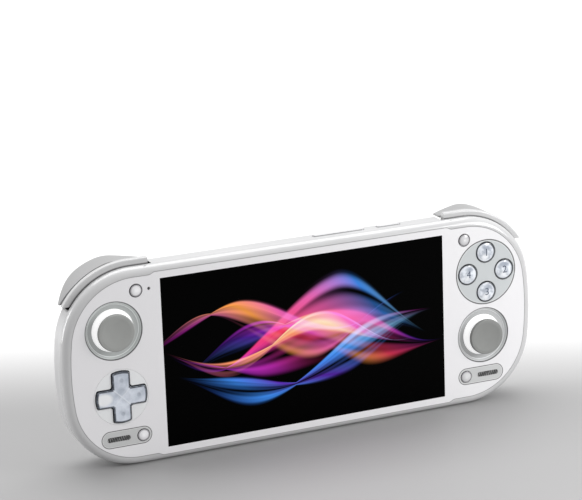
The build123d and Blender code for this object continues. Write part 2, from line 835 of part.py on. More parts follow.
for side, place in stick_places.items():
    turn = turning_axis(place)

    with BuildPart() as light_ring:
        flange_top = -floor_back - fit_gap
        flange_bottom = flange_top - light_ring_flange_thickness
        ring_inner_top = sphere_at(socket_radius, -light_ring_dip)
        ring_inner_low = sphere_at(socket_radius, flange_bottom)
        ring_inner_mid = sphere_at(socket_radius, (flange_bottom - light_ring_dip) / 2)
        with BuildSketch(turning_plane(place)):
            with BuildLine():
                Polyline(
                    ring_inner_low,
                    (ring_radius + light_ring_flange, flange_bottom),
                    (ring_radius + light_ring_flange, flange_top),
                    (ring_radius, flange_top),
                    (ring_radius, -light_ring_land),
                    (ring_radius - light_ring_slope_in, -light_ring_dip),
                    ring_inner_top,
                )
                ThreePointArc(ring_inner_top, ring_inner_mid, ring_inner_low)
            make_face()
        revolve(axis=turn)
        with BuildSketch(face_plane(floor_back)):
            with Locations(*post_places):
                Circle(post_radius + fit_gap)
        extrude(amount=flange_bottom - overrun, mode=Mode.SUBTRACT)
    keep(light_ring, f"light_ring_{side}")

    with BuildPart() as stick_cap:
        with BuildSketch(turning_plane(place)) as cap_profile:
            with BuildLine():
                dish_floor = stick_cap_proud - stick_cap_dish
                dish_middle = stick_cap_dish_radius / 2
                Polyline(
                    (0, dish_floor),
                    (0, neck_top),
                    (stick_cap_radius, neck_top),
                    (stick_cap_radius, stick_cap_proud),
                    (stick_cap_dish_radius, stick_cap_proud),
                )
                Spline(
                    (stick_cap_dish_radius, stick_cap_proud),
                    (dish_middle, dish_floor + stick_cap_dish * stick_dish_share),
                    (0, dish_floor),
                )
            make_face()
            rim = cap_profile.vertices().group_by(Axis.X)[-1]
            fillet(rim, stick_cap_round)
        revolve(axis=turn)
    keep(stick_cap, f"stick_cap_{side}")

    with BuildPart() as stick_dome:
        stem_end = -stick_pivot_depth - stem_below_pivot
        inner_edge = on_sphere(dome_inner, dome_edge)
        inner_start = sphere_at(dome_inner, neck_floor)
        inner_half = (dome_edge + asin(inner_start[0] / dome_inner)) / 2
        with BuildSketch(turning_plane(place)):
            with BuildLine():
                Polyline(
                    inner_start,
                    (stem_radius, neck_floor),
                    (stem_radius, stem_end),
                    (0, stem_end),
                    (0, neck_top),
                    (stick_neck_radius, neck_top),
                    on_sphere(dome_radius, dome_start),
                )
                ThreePointArc(
                    on_sphere(dome_radius, dome_start),
                    on_sphere(dome_radius, (dome_start + dome_edge) / 2),
                    on_sphere(dome_radius, dome_edge),
                )
                Line(on_sphere(dome_radius, dome_edge), inner_edge)
                ThreePointArc(inner_edge, on_sphere(dome_inner, inner_half), inner_start)
            make_face()
        revolve(axis=turn)
    keep(stick_dome, f"stick_dome_{side}")

    pivot = Vector(place[0], stick_pivot_depth - body_depth / 2, body_height / 2 + place[1])
    up_pin_plane = Plane(origin=pivot, x_dir=(1, 0, 0), z_dir=(0, 0, 1))
    side_pin_plane = Plane(origin=pivot, x_dir=(0, 0, 1), z_dir=(1, 0, 0))
    yoke_front = stick_pivot_depth - yoke_thickness / 2

    with BuildPart() as inner_yoke:
        with BuildSketch(face_plane(yoke_front)):
            with Locations(place):
                Circle(inner_yoke_radius)
        extrude(amount=-yoke_thickness)
        with BuildSketch(up_pin_plane):
            Circle(yoke_pin_radius)
        extrude(amount=outer_yoke_radius - yoke_pin_radius / 2, both=True)
        with BuildSketch(face_plane(yoke_front)):
            with Locations(place):
                Circle(stem_radius + bore_gap)
        extrude(amount=-yoke_thickness, mode=Mode.SUBTRACT)
    keep(inner_yoke, f"inner_yoke_{side}")

    with BuildPart() as outer_yoke:
        with BuildSketch(face_plane(yoke_front)):
            with Locations(place):
                Circle(outer_yoke_radius)
        extrude(amount=-yoke_thickness)
        with BuildSketch(side_pin_plane):
            Circle(yoke_pin_radius)
        extrude(amount=module_bore_radius + yoke_pin_radius, both=True)
        with BuildSketch(face_plane(yoke_front)):
            with Locations(place):
                Circle(outer_yoke_bore)
        extrude(amount=-yoke_thickness, mode=Mode.SUBTRACT)
        with BuildSketch(up_pin_plane):
            Circle(yoke_pin_radius + bore_gap)
        extrude(amount=outer_yoke_radius, both=True, mode=Mode.SUBTRACT)
    keep(outer_yoke, f"outer_yoke_{side}")

    with BuildPart() as stick_module:
        with BuildSketch(face_plane(module_top_depth)):
            with Locations(place):
                RectangleRounded(module_size, module_size, module_round)
        extrude(amount=-module_depth)
        with BuildSketch(face_plane(ear_depth)):
            with Locations(place):
                SlotOverall(module_ear_length, module_ear_width)
        extrude(amount=-module_ear_thickness)
        with BuildSketch(face_plane(module_top_depth)):
            with Locations(place):
                Circle(module_bore_radius)
        extrude(amount=-(module_depth - module_floor), mode=Mode.SUBTRACT)
        with BuildSketch(side_pin_plane):
            Circle(yoke_pin_radius + bore_gap)
        extrude(amount=module_bore_radius + yoke_pin_radius + bore_gap, both=True, mode=Mode.SUBTRACT)
    keep(stick_module, f"stick_module_{side}")

# Cross pad: plate, pad, the ball it rocks on and the rubber mat
with BuildPart() as cross_plate:
    with BuildSketch(face_plane(0)):
        with Locations(cross_place):
            Circle(cross_plate_radius)
            add(cross(cross_hole_reach, cross_hole_width, cross_round), mode=Mode.SUBTRACT)
    extrude(amount=-glass_thickness)
keep(cross_plate, "cross_plate")

cross_flange_back = cross_flange_depth + cross_flange_thickness
with BuildPart() as cross_pad:
    with BuildSketch(face_plane(-cross_proud)):
        with Locations(cross_place):
            add(cross(cross_hole_reach - cross_gap, cross_hole_width - 2 * cross_gap, cross_round))
    extrude(amount=-(cross_proud + cross_flange_back))
    fillet(cross_pad.faces().sort_by(Axis.Y)[0].edges(), cross_edge_round)
    dish_centre = -body_depth / 2 - cross_proud + cross_dish - cross_dish_radius
    with Locations((cross_place[0], dish_centre, body_height / 2 + cross_place[1])):
        Sphere(cross_dish_radius, mode=Mode.SUBTRACT)
    with BuildSketch(face_plane(cross_flange_depth)):
        with Locations(cross_place):
            add(cross(cross_flange_reach, cross_flange_width, cross_round))
    extrude(amount=-cross_flange_thickness)
    ball_at = (cross_place[0], pivot_depth - body_depth / 2, body_height / 2 + cross_place[1])
    with Locations(ball_at):
        Sphere(pivot_ball_radius + pivot_gap, mode=Mode.SUBTRACT)
keep(cross_pad, "cross_pad")

with BuildPart() as cross_pivot_ball:
    with Locations(ball_at):
        Sphere(pivot_ball_radius)
keep(cross_pivot_ball, "cross_pivot_ball")

mat_front = board_depth - mat_sheet
with BuildPart() as cross_mat:
    with BuildSketch(face_plane(mat_front)):
        with Locations(cross_place):
            Circle(cross_mat_radius)
    extrude(amount=-mat_sheet)
    with BuildSketch(face_plane(mat_front - cross_mat_dome_height)):
        with Locations(cross_place):
            with PolarLocations(cross_mat_dome_place, cross_arm_count):
                Circle(mat_dome_radius)
    extrude(amount=-cross_mat_dome_height)
    with BuildSketch(face_plane(mat_front)):
        with Locations(cross_place):
            Circle(cross_mat_bore)
    extrude(amount=-mat_sheet, mode=Mode.SUBTRACT)
keep(cross_mat, "cross_mat")

# Face buttons with their plate and rubber mat
with BuildPart() as button_plate:
    with BuildSketch(face_plane(0)):
        with Locations(upper_place):
            Circle(button_plate_radius)
        with Locations(*button_places):
            Circle(button_radius + button_gap, mode=Mode.SUBTRACT)
    extrude(amount=-glass_thickness)
keep(button_plate, "button_plate")

flange_back = flange_depth + button_flange_thickness
button_edge = button_proud - button_crown
for step, place in zip(button_steps, button_places):
    with BuildPart() as face_button:
        with BuildSketch(turning_plane(place)) as button_profile:
            with BuildLine():
                Polyline(
                    (0, button_proud),
                    (0, -flange_back - button_foot),
                    (mat_dome_radius, -flange_back - button_foot),
                    (mat_dome_radius, -flange_back),
                    (button_flange_radius, -flange_back),
                    (button_flange_radius, -flange_depth),
                    (button_radius, -flange_depth),
                    (button_radius, button_edge),
                )
                middle = crown_middle(button_radius, button_edge, button_proud)
                ThreePointArc((button_radius, button_edge), middle, (0, button_proud))
            make_face()
            rim = button_profile.vertices().sort_by_distance((button_radius, button_edge))[0]
            fillet(rim, button_edge_round)
        revolve(axis=turning_axis(place))
    keep(face_button, f"face_button_{step[0]}")

mat_dome_front = flange_back + button_foot + button_travel + mat_dome_clear
with BuildPart() as button_mat:
    with BuildSketch(face_plane(mat_front)):
        with Locations(upper_place):
            Circle(button_mat_radius)
    extrude(amount=-mat_sheet)
    with BuildSketch(face_plane(mat_dome_front)):
        with Locations(*button_places):
            Circle(mat_dome_radius)
    extrude(amount=-(mat_front - mat_dome_front))
keep(button_mat, "button_mat")

# Small round keys
key_stem_end = board_depth - switch_height - switch_gap - key_travel
key_edge = key_proud - key_crown
key_places = {
    "upper_left": at_side(top_key_place, "left"),
    "upper_right": top_key_place,
    "lower_left": at_side(low_key_place, "left"),
    "lower_right": low_key_place,
}
for name, place in key_places.items():
    with BuildPart() as round_key:
        with BuildSketch(turning_plane(place)):
            with BuildLine():
                Polyline(
                    (0, key_proud),
                    (0, -key_stem_end),
                    (key_stem_radius, -key_stem_end),
                    (key_stem_radius, -flange_depth - key_flange_thickness),
                    (key_flange_radius, -flange_depth - key_flange_thickness),
                    (key_flange_radius, -flange_depth),
                    (key_radius, -flange_depth),
                    (key_radius, key_edge),
                )
                middle = crown_middle(key_radius, key_edge, key_proud)
                ThreePointArc((key_radius, key_edge), middle, (0, key_proud))
            make_face()
        revolve(axis=turning_axis(place))
    keep(round_key, f"key_{name}")

# Speaker insets, speakers, control boards and the shoulder pieces
with BuildPart() as microphone:
    with BuildSketch(face_plane(floor_back)):
        with Locations(microphone_place):
            Circle(microphone_body_radius)
    extrude(amount=-microphone_length)
keep(microphone, "microphone")

grille_pitch = grille_length * grille_pitch_share
row_pitch = grille_width * grille_row_share
lobe_plane = Plane(origin=shoulder_centre, x_dir=along, z_dir=outward)
lobe_drop = trigger_reach - trigger_start
lobe_points = [
    (trigger_half_length * across, trigger_start + lobe_drop * down)
    for across, down in trigger_lobe_shares
]
boss_web = trigger_pin_sink + trigger_boss_radius
facing_share = 0.5
for side in ("left", "right"):
    x, y = at_side(inset_place, side)

    with BuildPart() as speaker_inset:
        with BuildSketch(face_plane(0)):
            with Locations((x, y)):
                SlotOverall(inset_length, inset_width)
            with Locations(at_side(low_key_place, side)):
                Circle(key_radius + key_gap, mode=Mode.SUBTRACT)
        extrude(amount=-glass_thickness)
        with BuildSketch(face_plane(0)):
            with Locations(at_side(grille_place, side)):
                SlotOverall(grille_length, grille_width)
        extrude(amount=-grille_sink, mode=Mode.SUBTRACT)
        with BuildSketch(face_plane(grille_sink)):
            with Locations(at_side(grille_place, side)):
                with GridLocations(grille_pitch, row_pitch, grille_columns, grille_rows):
                    Circle(grille_hole_radius)
        extrude(amount=-glass_thickness, mode=Mode.SUBTRACT)
    keep(speaker_inset, f"speaker_inset_{side}")

    with BuildPart() as speaker:
        with BuildSketch(face_plane(floor_back)):
            with Locations(at_side(grille_place, side)):
                Rectangle(speaker_length, speaker_width)
        extrude(amount=-speaker_thickness)
        with BuildSketch(face_plane(floor_back)):
            with Locations(at_side(grille_place, side)):
                SlotOverall(speaker_length - 2 * speaker_cone_wall, speaker_width - 2 * speaker_cone_wall)
        extrude(amount=-speaker_cone_depth, mode=Mode.SUBTRACT)
    keep(speaker, f"speaker_{side}")

    board_inner = board_inner_edge if side == "right" else -board_inner_edge - body_width
    with BuildPart() as control_board:
        with BuildSketch(face_plane(board_depth)):
            add(outline(board_inset))
            with Locations((board_inner, -body_height)):
                corner = (Align.MIN, Align.MIN)
                Rectangle(body_width, 2 * body_height, align=corner, mode=Mode.INTERSECT)
            with Locations(stick_places[side]):
                Circle(board_stick_radius, mode=Mode.SUBTRACT)
            with Locations(*all_screw_places):
                Circle(boss_radius + board_hole_gap, mode=Mode.SUBTRACT)
            with Locations(*post_places):
                Circle(post_tip_radius + post_tip_gap, mode=Mode.SUBTRACT)
        extrude(amount=-board_thickness)
        with BuildSketch(face_plane(board_depth)):
            with Locations(at_side(top_key_place, side), at_side(low_key_place, side)):
                Rectangle(switch_size, switch_size)
        extrude(amount=switch_height)
    keep(control_board, f"control_board_{side}")

with BuildPart() as bumper_right:
    with BuildSketch(face_plane(bumper_start)):
        add(shoulder_strip(-shoulder_proud, bumper_inset, shoulder_inner, shoulder_low))
    extrude(amount=-bumper_depth)
    bumper_ends = bumper_right.faces().filter_by(Axis.Y)
    bumper_rims = bumper_ends.edges().filter_by(GeomType.CIRCLE).group_by(SortBy.RADIUS)[-1]
    fillet(bumper_rims, bumper_round)
    with BuildSketch(face_plane(bumper_start)):
        ear_reach = bumper_pin_radius + bore_gap + bumper_ear_wall
        with Locations((shoulder_inner, edge_top - bumper_pin_inset - ear_reach)):
            ear_rise = bumper_pin_inset + ear_reach
            Rectangle(bumper_ear_length, ear_rise, align=(Align.MIN, Align.MIN))
    extrude(amount=-bumper_depth)
    with BuildSketch(face_plane(bumper_start)):
        with Locations(bumper_pin_places[1]):
            Circle(bumper_pin_radius + bore_gap)
    extrude(amount=-bumper_depth, mode=Mode.SUBTRACT)
keep(bumper_right, "bumper_right")

with BuildPart() as bumper_left:
    add(bumper_right.part.mirror(Plane.YZ))
keep(bumper_left, "bumper_left")

with BuildPart() as bumper_pins:
    with BuildSketch(face_plane(front_shell_depth - bumper_pin_seat)):
        with Locations(*bumper_pin_places):
            Circle(bumper_pin_radius)
    extrude(amount=-(bumper_start + bumper_depth - front_shell_depth + bumper_pin_seat))
keep(bumper_pins, "bumper_pins")

def is_outer(face):
    """Whether a face of the trigger looks away from the body."""
    return face.normal_at().dot(outward) > facing_share


# Triggers: a lobed shell round the shoulder that turns about its pin
with BuildPart() as trigger_right:
    with BuildSketch(face_plane(trigger_start)):
        add(trigger_strip())
    extrude(amount=-(trigger_reach - trigger_start + overrun))
    with BuildSketch(lobe_plane):
        with BuildLine():
            relief_start = trigger_half_length / 2
            beyond = trigger_half_length + overrun
            relief_depth = trigger_start + trigger_end_relief
            Polyline(
                lobe_points[0],
                (-beyond, lobe_points[0][1]),
                (-beyond, relief_depth),
                (-relief_start, trigger_start),
                (relief_start, trigger_start),
                (beyond, relief_depth),
                (beyond, lobe_points[-1][1]),
                lobe_points[-1],
            )
            Spline(*lobe_points)
        make_face()
    extrude(amount=body_height, mode=Mode.INTERSECT)
    outer_faces = trigger_right.faces().filter_by(is_outer)
    fillet(outer_faces.edges().filter_by(GeomType.BSPLINE), trigger_round)
    with BuildSketch(pin_plane(-trigger_boss_length / 2)):
        Circle(trigger_boss_radius)
        Rectangle(boss_web, 2 * trigger_boss_radius, align=(Align.MIN, Align.CENTER))
    extrude(amount=trigger_boss_length)
    with BuildSketch(pin_plane(-trigger_spring_room / 2)):
        Circle(trigger_ear_radius)
        Rectangle(trigger_ear_radius, 2 * trigger_ear_radius, align=(Align.MAX, Align.CENTER))
    extrude(amount=trigger_spring_room, mode=Mode.SUBTRACT)
    for shift in (trigger_boss_length / 2, -pin_half - trigger_ear_gap):
        with BuildSketch(pin_plane(shift)):
            Circle(trigger_pocket_rise)
        extrude(amount=trigger_ear_width + 2 * trigger_ear_gap, mode=Mode.SUBTRACT)
    with BuildSketch(pin_plane(-pin_half)):
        Circle(trigger_pin_radius + bore_gap)
    extrude(amount=2 * pin_half, mode=Mode.SUBTRACT)
keep(trigger_right, "trigger_right")

with BuildPart() as trigger_left:
    add(trigger_right.part.mirror(Plane.YZ))
keep(trigger_left, "trigger_left")

with BuildPart() as trigger_pins:
    with BuildSketch(pin_plane(-pin_half)):
        Circle(trigger_pin_radius)
    pin = extrude(amount=2 * pin_half)
    add(pin.mirror(Plane.YZ))
keep(trigger_pins, "trigger_pins")

coil_radius = trigger_pin_radius + spring_gap + spring_wire_radius
coil_height = spring_turns * spring_pitch
coil_start = trigger_pin_point - along * (coil_height / 2)
with BuildPart() as trigger_springs:
    with BuildLine():
        coil = Helix(spring_pitch, coil_height, coil_radius, center=coil_start, direction=along)
    with BuildSketch(Plane(origin=coil @ 0, z_dir=coil % 0)):
        Circle(spring_wire_radius)
    spring = sweep()
    add(spring.mirror(Plane.YZ))
keep(trigger_springs, "trigger_springs")

# Power key and volume rocker in the top edge, and the board behind them
flange_under = -side_wall - seat_gap
for name, place, length in (("power", power_place, power_length), ("volume", volume_place, volume_length)):
    with BuildPart() as edge_key:
        with BuildSketch(top_plane(place)):
            SlotOverall(length, edge_key_width)
        extrude(amount=edge_key_proud)
        fillet(edge_key.faces().sort_by(Axis.Z)[-1].edges(), edge_key_round)
        with BuildSketch(top_plane(place)):
            SlotOverall(length, edge_key_width)
        extrude(amount=flange_under)
        with BuildSketch(top_plane(place).offset(flange_under)):
            SlotOverall(length + 2 * edge_key_flange, edge_key_width + 2 * edge_key_flange)
        extrude(amount=-edge_key_flange_thickness)
    keep(edge_key, f"{name}_key")

key_foot = flange_under - edge_key_flange_thickness
switch_top = key_foot - edge_key_travel - switch_gap
board_top = switch_top - edge_switch_height
board_left = volume_place - volume_length / 2 - edge_board_margin
board_right = power_place + power_length / 2 + edge_board_margin
board_middle = (board_left + board_right) / 2
board_back = rear_cavity_back - edge_key_depth
with BuildPart() as edge_board:
    with BuildSketch(top_plane(board_middle).offset(board_top)):
        with Locations((0, -edge_board_front)):
            board_run = (board_right - board_left, edge_board_front + board_back)
            Rectangle(*board_run, align=(Align.CENTER, Align.MIN))
    extrude(amount=-edge_board_thickness)
    with BuildSketch(top_plane(volume_place).offset(board_top)):
        with GridLocations(volume_switch_pitch, 0, 2, 1):
            Rectangle(edge_switch_size, edge_switch_size)
        with Locations((power_place - volume_place, 0)):
            Rectangle(edge_switch_size, edge_switch_size)
    extrude(amount=edge_switch_height)
    with BuildSketch(top_plane(volume_place).offset(board_top)):
        Rectangle(rocker_post_width, edge_switch_size)
    extrude(amount=key_foot - bore_gap - board_top)
keep(edge_board, "edge_board")

# Works behind the display
with BuildPart() as battery:
    with BuildSketch(face_plane(works_depth)):
        with Locations(battery_place):
            RectangleRounded(battery_length, battery_size[0], battery_round)
    extrude(amount=-battery_size[1])
keep(battery, "battery")

mainboard_front = works_depth + mainboard_lift
mainboard_back = mainboard_front + mainboard_thickness
with BuildPart() as mainboard:
    with BuildSketch(face_plane(mainboard_front)):
        with Locations(mainboard_place):
            Rectangle(mainboard_width, mainboard_length)
    extrude(amount=-mainboard_thickness)
    with BuildSketch(face_plane(mainboard_back)):
        with Locations(chip_place):
            Rectangle(chip_size, chip_size)
    extrude(amount=-chip_height)
    with BuildSketch(face_plane(mainboard_back)):
        with Locations(memory_place):
            Rectangle(*memory_size)
    extrude(amount=-memory_height)
keep(mainboard, "mainboard")

heat_plate_front = mainboard_back + chip_height
heat_plate_back = heat_plate_front + heat_plate_thickness
with BuildPart() as heat_spreader:
    with BuildSketch(face_plane(heat_plate_front)):
        with Locations(chip_place):
            Rectangle(*heat_plate_size)
    extrude(amount=-heat_plate_thickness)
keep(heat_spreader, "heat_spreader")

fan_edge = fan_place[1] - fan_size / 2
with BuildPart() as heat_pipe:
    with BuildSketch(face_plane(heat_plate_back)):
        with Locations((heat_pipe_place, fan_edge - fit_gap)):
            Rectangle(heat_pipe_width, heat_pipe_run, align=(Align.CENTER, Align.MAX))
    extrude(amount=-heat_pipe_height)
    fillet(heat_pipe.edges().filter_by(Axis.Z), heat_pipe_height * heat_pipe_round_share)
keep(heat_pipe, "heat_pipe")

fan_inner_front = mainboard_back + fan_wall
fan_inner_back = mainboard_back + fan_height - fan_wall
with BuildPart() as fan_housing:
    with BuildSketch(face_plane(mainboard_back)):
        with Locations(fan_place):
            RectangleRounded(fan_size, fan_size, fan_round)
    extrude(amount=-fan_height)
    with BuildSketch(face_plane(fan_inner_front)):
        with Locations(fan_place):
            Circle(fan_bore_radius)
            Rectangle(fan_outlet_width, fan_size, align=(Align.CENTER, Align.MIN))
    extrude(amount=-(fan_inner_back - fan_inner_front), mode=Mode.SUBTRACT)
    with BuildSketch(face_plane(fan_inner_back)):
        with Locations(fan_place):
            Circle(fan_eye_radius)
    extrude(amount=-fan_wall, mode=Mode.SUBTRACT)
    with BuildSketch(face_plane(mainboard_back)):
        with Locations(fan_place):
            Circle(axle_radius + axle_gap)
    extrude(amount=-fan_wall, mode=Mode.SUBTRACT)
keep(fan_housing, "fan_housing")

rotor_front = fan_inner_front + rotor_gap
rotor_height = fan_inner_back - rotor_gap - rotor_front
blade_start = rotor_hub_radius - rotor_blade_thickness
blade_run = rotor_radius - rotor_blade_thickness - blade_start
with BuildPart() as fan_rotor:
    with BuildSketch(face_plane(rotor_front)):
        with Locations(fan_place):
            Circle(rotor_hub_radius)
            with PolarLocations(blade_start, rotor_blade_count):
                Rectangle(blade_run, rotor_blade_thickness, align=(Align.MIN, Align.CENTER))
    extrude(amount=-rotor_height)
    with BuildSketch(face_plane(rotor_front)):
        with Locations(fan_place):
            Circle(rotor_radius)
    extrude(amount=-rotor_plate_thickness)
    with BuildSketch(face_plane(mainboard_back + axle_gap)):
        with Locations(fan_place):
            Circle(axle_radius)
    extrude(amount=-(rotor_front - mainboard_back))
keep(fan_rotor, "fan_rotor")

# Sockets in the lower edge on their board
with BuildPart() as usb_port:
    mouth = bottom_plane(usb_place, usb_depth).offset(-usb_sink)
    with BuildSketch(mouth):
        SlotOverall(usb_width, usb_height)
    extrude(amount=-usb_length)
    with BuildSketch(mouth):
        SlotOverall(usb_width - 2 * usb_wall, usb_height - 2 * usb_wall)
    extrude(amount=-(usb_length - 2 * usb_wall), mode=Mode.SUBTRACT)
    with BuildSketch(mouth.offset(-usb_length)):
        Rectangle(usb_tongue_width, usb_tongue_thickness)
    extrude(amount=usb_length * usb_tongue_share)
keep(usb_port, "usb_port")

with BuildPart() as card_reader:
    reader_mouth = bottom_plane(card_place, card_depth).offset(-side_wall)
    with BuildSketch(reader_mouth):
        Rectangle(card_slot_width + 2 * card_reader_side, card_reader_height)
    extrude(amount=-card_reader_length)
    with BuildSketch(reader_mouth):
        Rectangle(card_slot_width, card_slot_height)
    extrude(amount=-(card_reader_length - card_reader_side), mode=Mode.SUBTRACT)
keep(card_reader, "card_reader")

with BuildPart() as socket_board:
    with BuildSketch(face_plane(socket_board_front)):
        with Locations(socket_board_at):
            Rectangle(*socket_board_size)
    extrude(amount=-socket_board_thickness)
keep(socket_board, "socket_board")

with BuildPart() as haptic_motors:
    with BuildSketch(face_plane(room_back - haptic_thickness)):
        with Locations(*both(haptic_place)):
            Circle(haptic_radius)
    extrude(amount=-haptic_thickness)
keep(haptic_motors, "haptic_motors")

with BuildPart() as case_screws:
    with BuildSketch(face_plane(screw_tip)):
        with Locations(*all_screw_places):
            Circle(screw_radius)
    extrude(amount=-screw_length)
    with BuildSketch(face_plane(screw_seat_depth)):
        with Locations(*all_screw_places):
            Circle(screw_head_radius)
    extrude(amount=-screw_head_height)
    with BuildSketch(face_plane(screw_seat_depth + screw_head_height)):
        with Locations(*all_screw_places):
            Circle(screw_socket_radius)
    extrude(amount=screw_socket_depth, mode=Mode.SUBTRACT)
keep(case_screws, "case_screws")
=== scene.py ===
import math

import bmesh
import bpy
from mathutils import Matrix, Vector


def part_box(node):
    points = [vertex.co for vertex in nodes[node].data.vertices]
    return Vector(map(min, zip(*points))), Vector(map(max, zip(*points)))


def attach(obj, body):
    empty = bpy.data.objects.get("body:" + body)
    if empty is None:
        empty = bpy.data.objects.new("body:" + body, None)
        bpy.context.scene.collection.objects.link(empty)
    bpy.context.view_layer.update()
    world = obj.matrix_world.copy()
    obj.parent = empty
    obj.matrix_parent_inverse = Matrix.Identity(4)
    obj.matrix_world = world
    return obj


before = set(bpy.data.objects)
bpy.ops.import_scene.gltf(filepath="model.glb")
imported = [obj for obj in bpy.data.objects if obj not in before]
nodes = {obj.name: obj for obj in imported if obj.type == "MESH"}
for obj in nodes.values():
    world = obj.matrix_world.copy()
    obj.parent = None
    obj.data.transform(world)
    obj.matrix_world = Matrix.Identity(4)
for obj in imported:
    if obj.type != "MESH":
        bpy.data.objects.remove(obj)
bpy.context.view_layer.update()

# Places and sizes on the console's face, in millimetres from its middle
MM = 0.001
BODY_DEPTH = 16.2 * MM
SCREEN_RISE = 50.4 * MM
FACE = -BODY_DEPTH / 2
CORNER_X, CORNER_Y, CORNER_RADIUS = 91.6, 13.0, 37.4
BULGE, BULGE_SPREAD = 0.8, 286.8
BAND_START, BAND_END = 79.9, 83.1
FRAME_INSET, FRAME_BAND = 4.35, 1.2
SCREEN_WIDTH, SCREEN_HEIGHT = 155.0, 87.2
SCREEN_PROUD = 0.02
UPPER, LOWER = (102.6, 20.5), (100.6, -13.5)
KEY_X, KEY_TOP, KEY_LOW = 90.2, 39.2, -35.0
KEY_HOLE, RING_HOLE, PLATE_HOLE = 3.3, 14.75, 17.3
PILL_X, PILL_Y, PILL_RUN, PILL_RADIUS = 98.9, -34.9, 8.75, 4.35
GRILLE_X, GRILLE_Y, GRILLE_RUN = 103.0, -35.0, 4.8
POWER_KEY, VOLUME_KEY = (51.5, 13.2), (23.4, 28.4)
EDGE_KEY_WIDTH, EDGE_KEY_DEPTH = 3.1, 9.7
DIGIT_SIZE, DIGIT_RELIEF, DIGIT_SUNK = 5.4, 0.05, 0.02
BUTTON_STEP = 10.6
BUTTONS = {
    "right": (UPPER[0] + BUTTON_STEP, UPPER[1]),
    "top": (UPPER[0], UPPER[1] + BUTTON_STEP),
    "left": (UPPER[0] - BUTTON_STEP, UPPER[1]),
    "bottom": (UPPER[0], UPPER[1] - BUTTON_STEP),
}
STICKS = {"left": (-UPPER[0], UPPER[1]), "right": LOWER}
CORNERS = ((-1, -1), (1, -1), (1, 1), (-1, 1))

# Plastics, each with its lighter and its darker tone
SHELL = ((0.57, 0.57, 0.575), (0.53, 0.53, 0.536))
BUMPER = ((0.57, 0.57, 0.573), (0.53, 0.53, 0.533))
TRIGGER = ((0.36, 0.36, 0.362), (0.32, 0.32, 0.322))
SLIM_KEY = ((0.74, 0.74, 0.745), (0.70, 0.70, 0.71))
DOME = ((0.93, 0.93, 0.93), (0.90, 0.90, 0.90))
BUTTON_PLATE = ((0.57, 0.595, 0.605), (0.54, 0.565, 0.575))
CROSS_PLATE = ((0.82, 0.83, 0.84), (0.79, 0.80, 0.81))
PILL = ((0.58, 0.585, 0.585), (0.54, 0.545, 0.545))
PRINTED_WHITE = ((0.83, 0.824, 0.838), (0.80, 0.792, 0.81))
BLACK_PLASTIC = ((0.03, 0.03, 0.032), (0.02, 0.02, 0.022))
MAT = ((0.3, 0.31, 0.33), (0.24, 0.25, 0.27))
INK = ((0.10, 0.12, 0.17), (0.07, 0.09, 0.13))
GRILLE_MESH = ((0.33, 0.33, 0.33), (0.11, 0.11, 0.11))

# Clear plastics: cloudy middle; dark bevel, side walls, rims and dimples as painted shade, with painted
# glints; bright patches, halos and crease lines as painted highlights
CROSS_CLOUD = ((0.50, 0.55, 0.635), (0.79, 0.84, 0.93))
CROSS_BEVEL_SHADE_GLINT = ((0.045, 0.055, 0.075), (0.35, 0.40, 0.47))
CROSS_CREASE_HIGHLIGHT, CROSS_DIMPLE_SHADE, CROSS_RING_SHADE = (0.86, 0.90, 0.96), (0.22, 0.25, 0.31), (0.62, 0.67, 0.74)
BUTTON_CLOUD = ((0.44, 0.48, 0.55), (0.86, 0.90, 0.96))
BUTTON_WALL_SHADE = ((0.16, 0.175, 0.20), (0.04, 0.045, 0.055))
BUTTON_SHADE, BUTTON_HALO_HIGHLIGHT, BUTTON_RIM_SHADE = (0.33, 0.37, 0.44), (0.80, 0.82, 0.85), (0.055, 0.062, 0.075)
PAINTED_SHINE = (0.97, 0.985, 1.0)

# Seams, gaps and rims; painted shadow in the button gaps, shoulder notches and on the bumpers under the
# frame, painted shade on the key sides, and the top of the painted highlight on the stick rings' lips
SEAM, FRONT_SEAM, PILL_SEAM = (0.10, 0.10, 0.105), (0.12, 0.12, 0.125), (0.10, 0.10, 0.10)
GAP_LINE_AND_SHADOW, PLATE_GAP = (0.05, 0.052, 0.055), (0.07, 0.072, 0.075)
NOTCH_SHADOW, BUMPER_SHADOW = (0.012, 0.012, 0.013), (0.05, 0.05, 0.052)
SLIM_RIM, KEY_RIM, KEY_SIDE_SHADE = (0.30, 0.30, 0.31), (0.36, 0.35, 0.37), (0.06, 0.06, 0.065)
PLATE_LIP, PILL_LIP = (0.66, 0.675, 0.68), (0.80, 0.80, 0.80)
RING_HIGHLIGHT_MOST = 0.9

# Metals and inner parts
STEEL, ALLOY, COPPER = (0.62, 0.63, 0.65), (0.74, 0.75, 0.77), (0.78, 0.42, 0.26)
BOARD_MASK = ((0.012, 0.09, 0.045), (0.02, 0.14, 0.07))
BOARD_PAD = (0.7, 0.7, 0.68)
WRAP = ((0.03, 0.03, 0.035), (0.09, 0.09, 0.1))

# Lights of the screen's picture
BLACK, WHITE = (0.0, 0.0, 0.0), (1.0, 1.0, 1.0)
VIOLET, MAGENTA, RED, ORANGE = (0.10, 0.02, 0.40), (0.62, 0.03, 0.52), (0.90, 0.05, 0.12), (1.0, 0.36, 0.07)
ROSE, BLUE, SKY, DEEP, GOLD = (
    (0.80, 0.12, 0.40), (0.05, 0.26, 0.85), (0.25, 0.62, 1.0), (0.02, 0.05, 0.30), (1.0, 0.72, 0.35),
)

# Tones of the same rings, keys and caps, set lighter or darker on each side as painted light and shade, and
# the painted glow of the domes
RING_LIT_TONE_BY_SIDE = {"left": (0.60, 0.625, 0.62), "right": (0.62, 0.63, 0.635)}
KEY_LIT_TONE_BY_SIDE = {"left": 0.84, "right": 0.62}
CAP_LIT_TONE_BY_SIDE = {"left": 0.335, "right": 0.25}
DOME_PAINTED_GLOW = 0.45

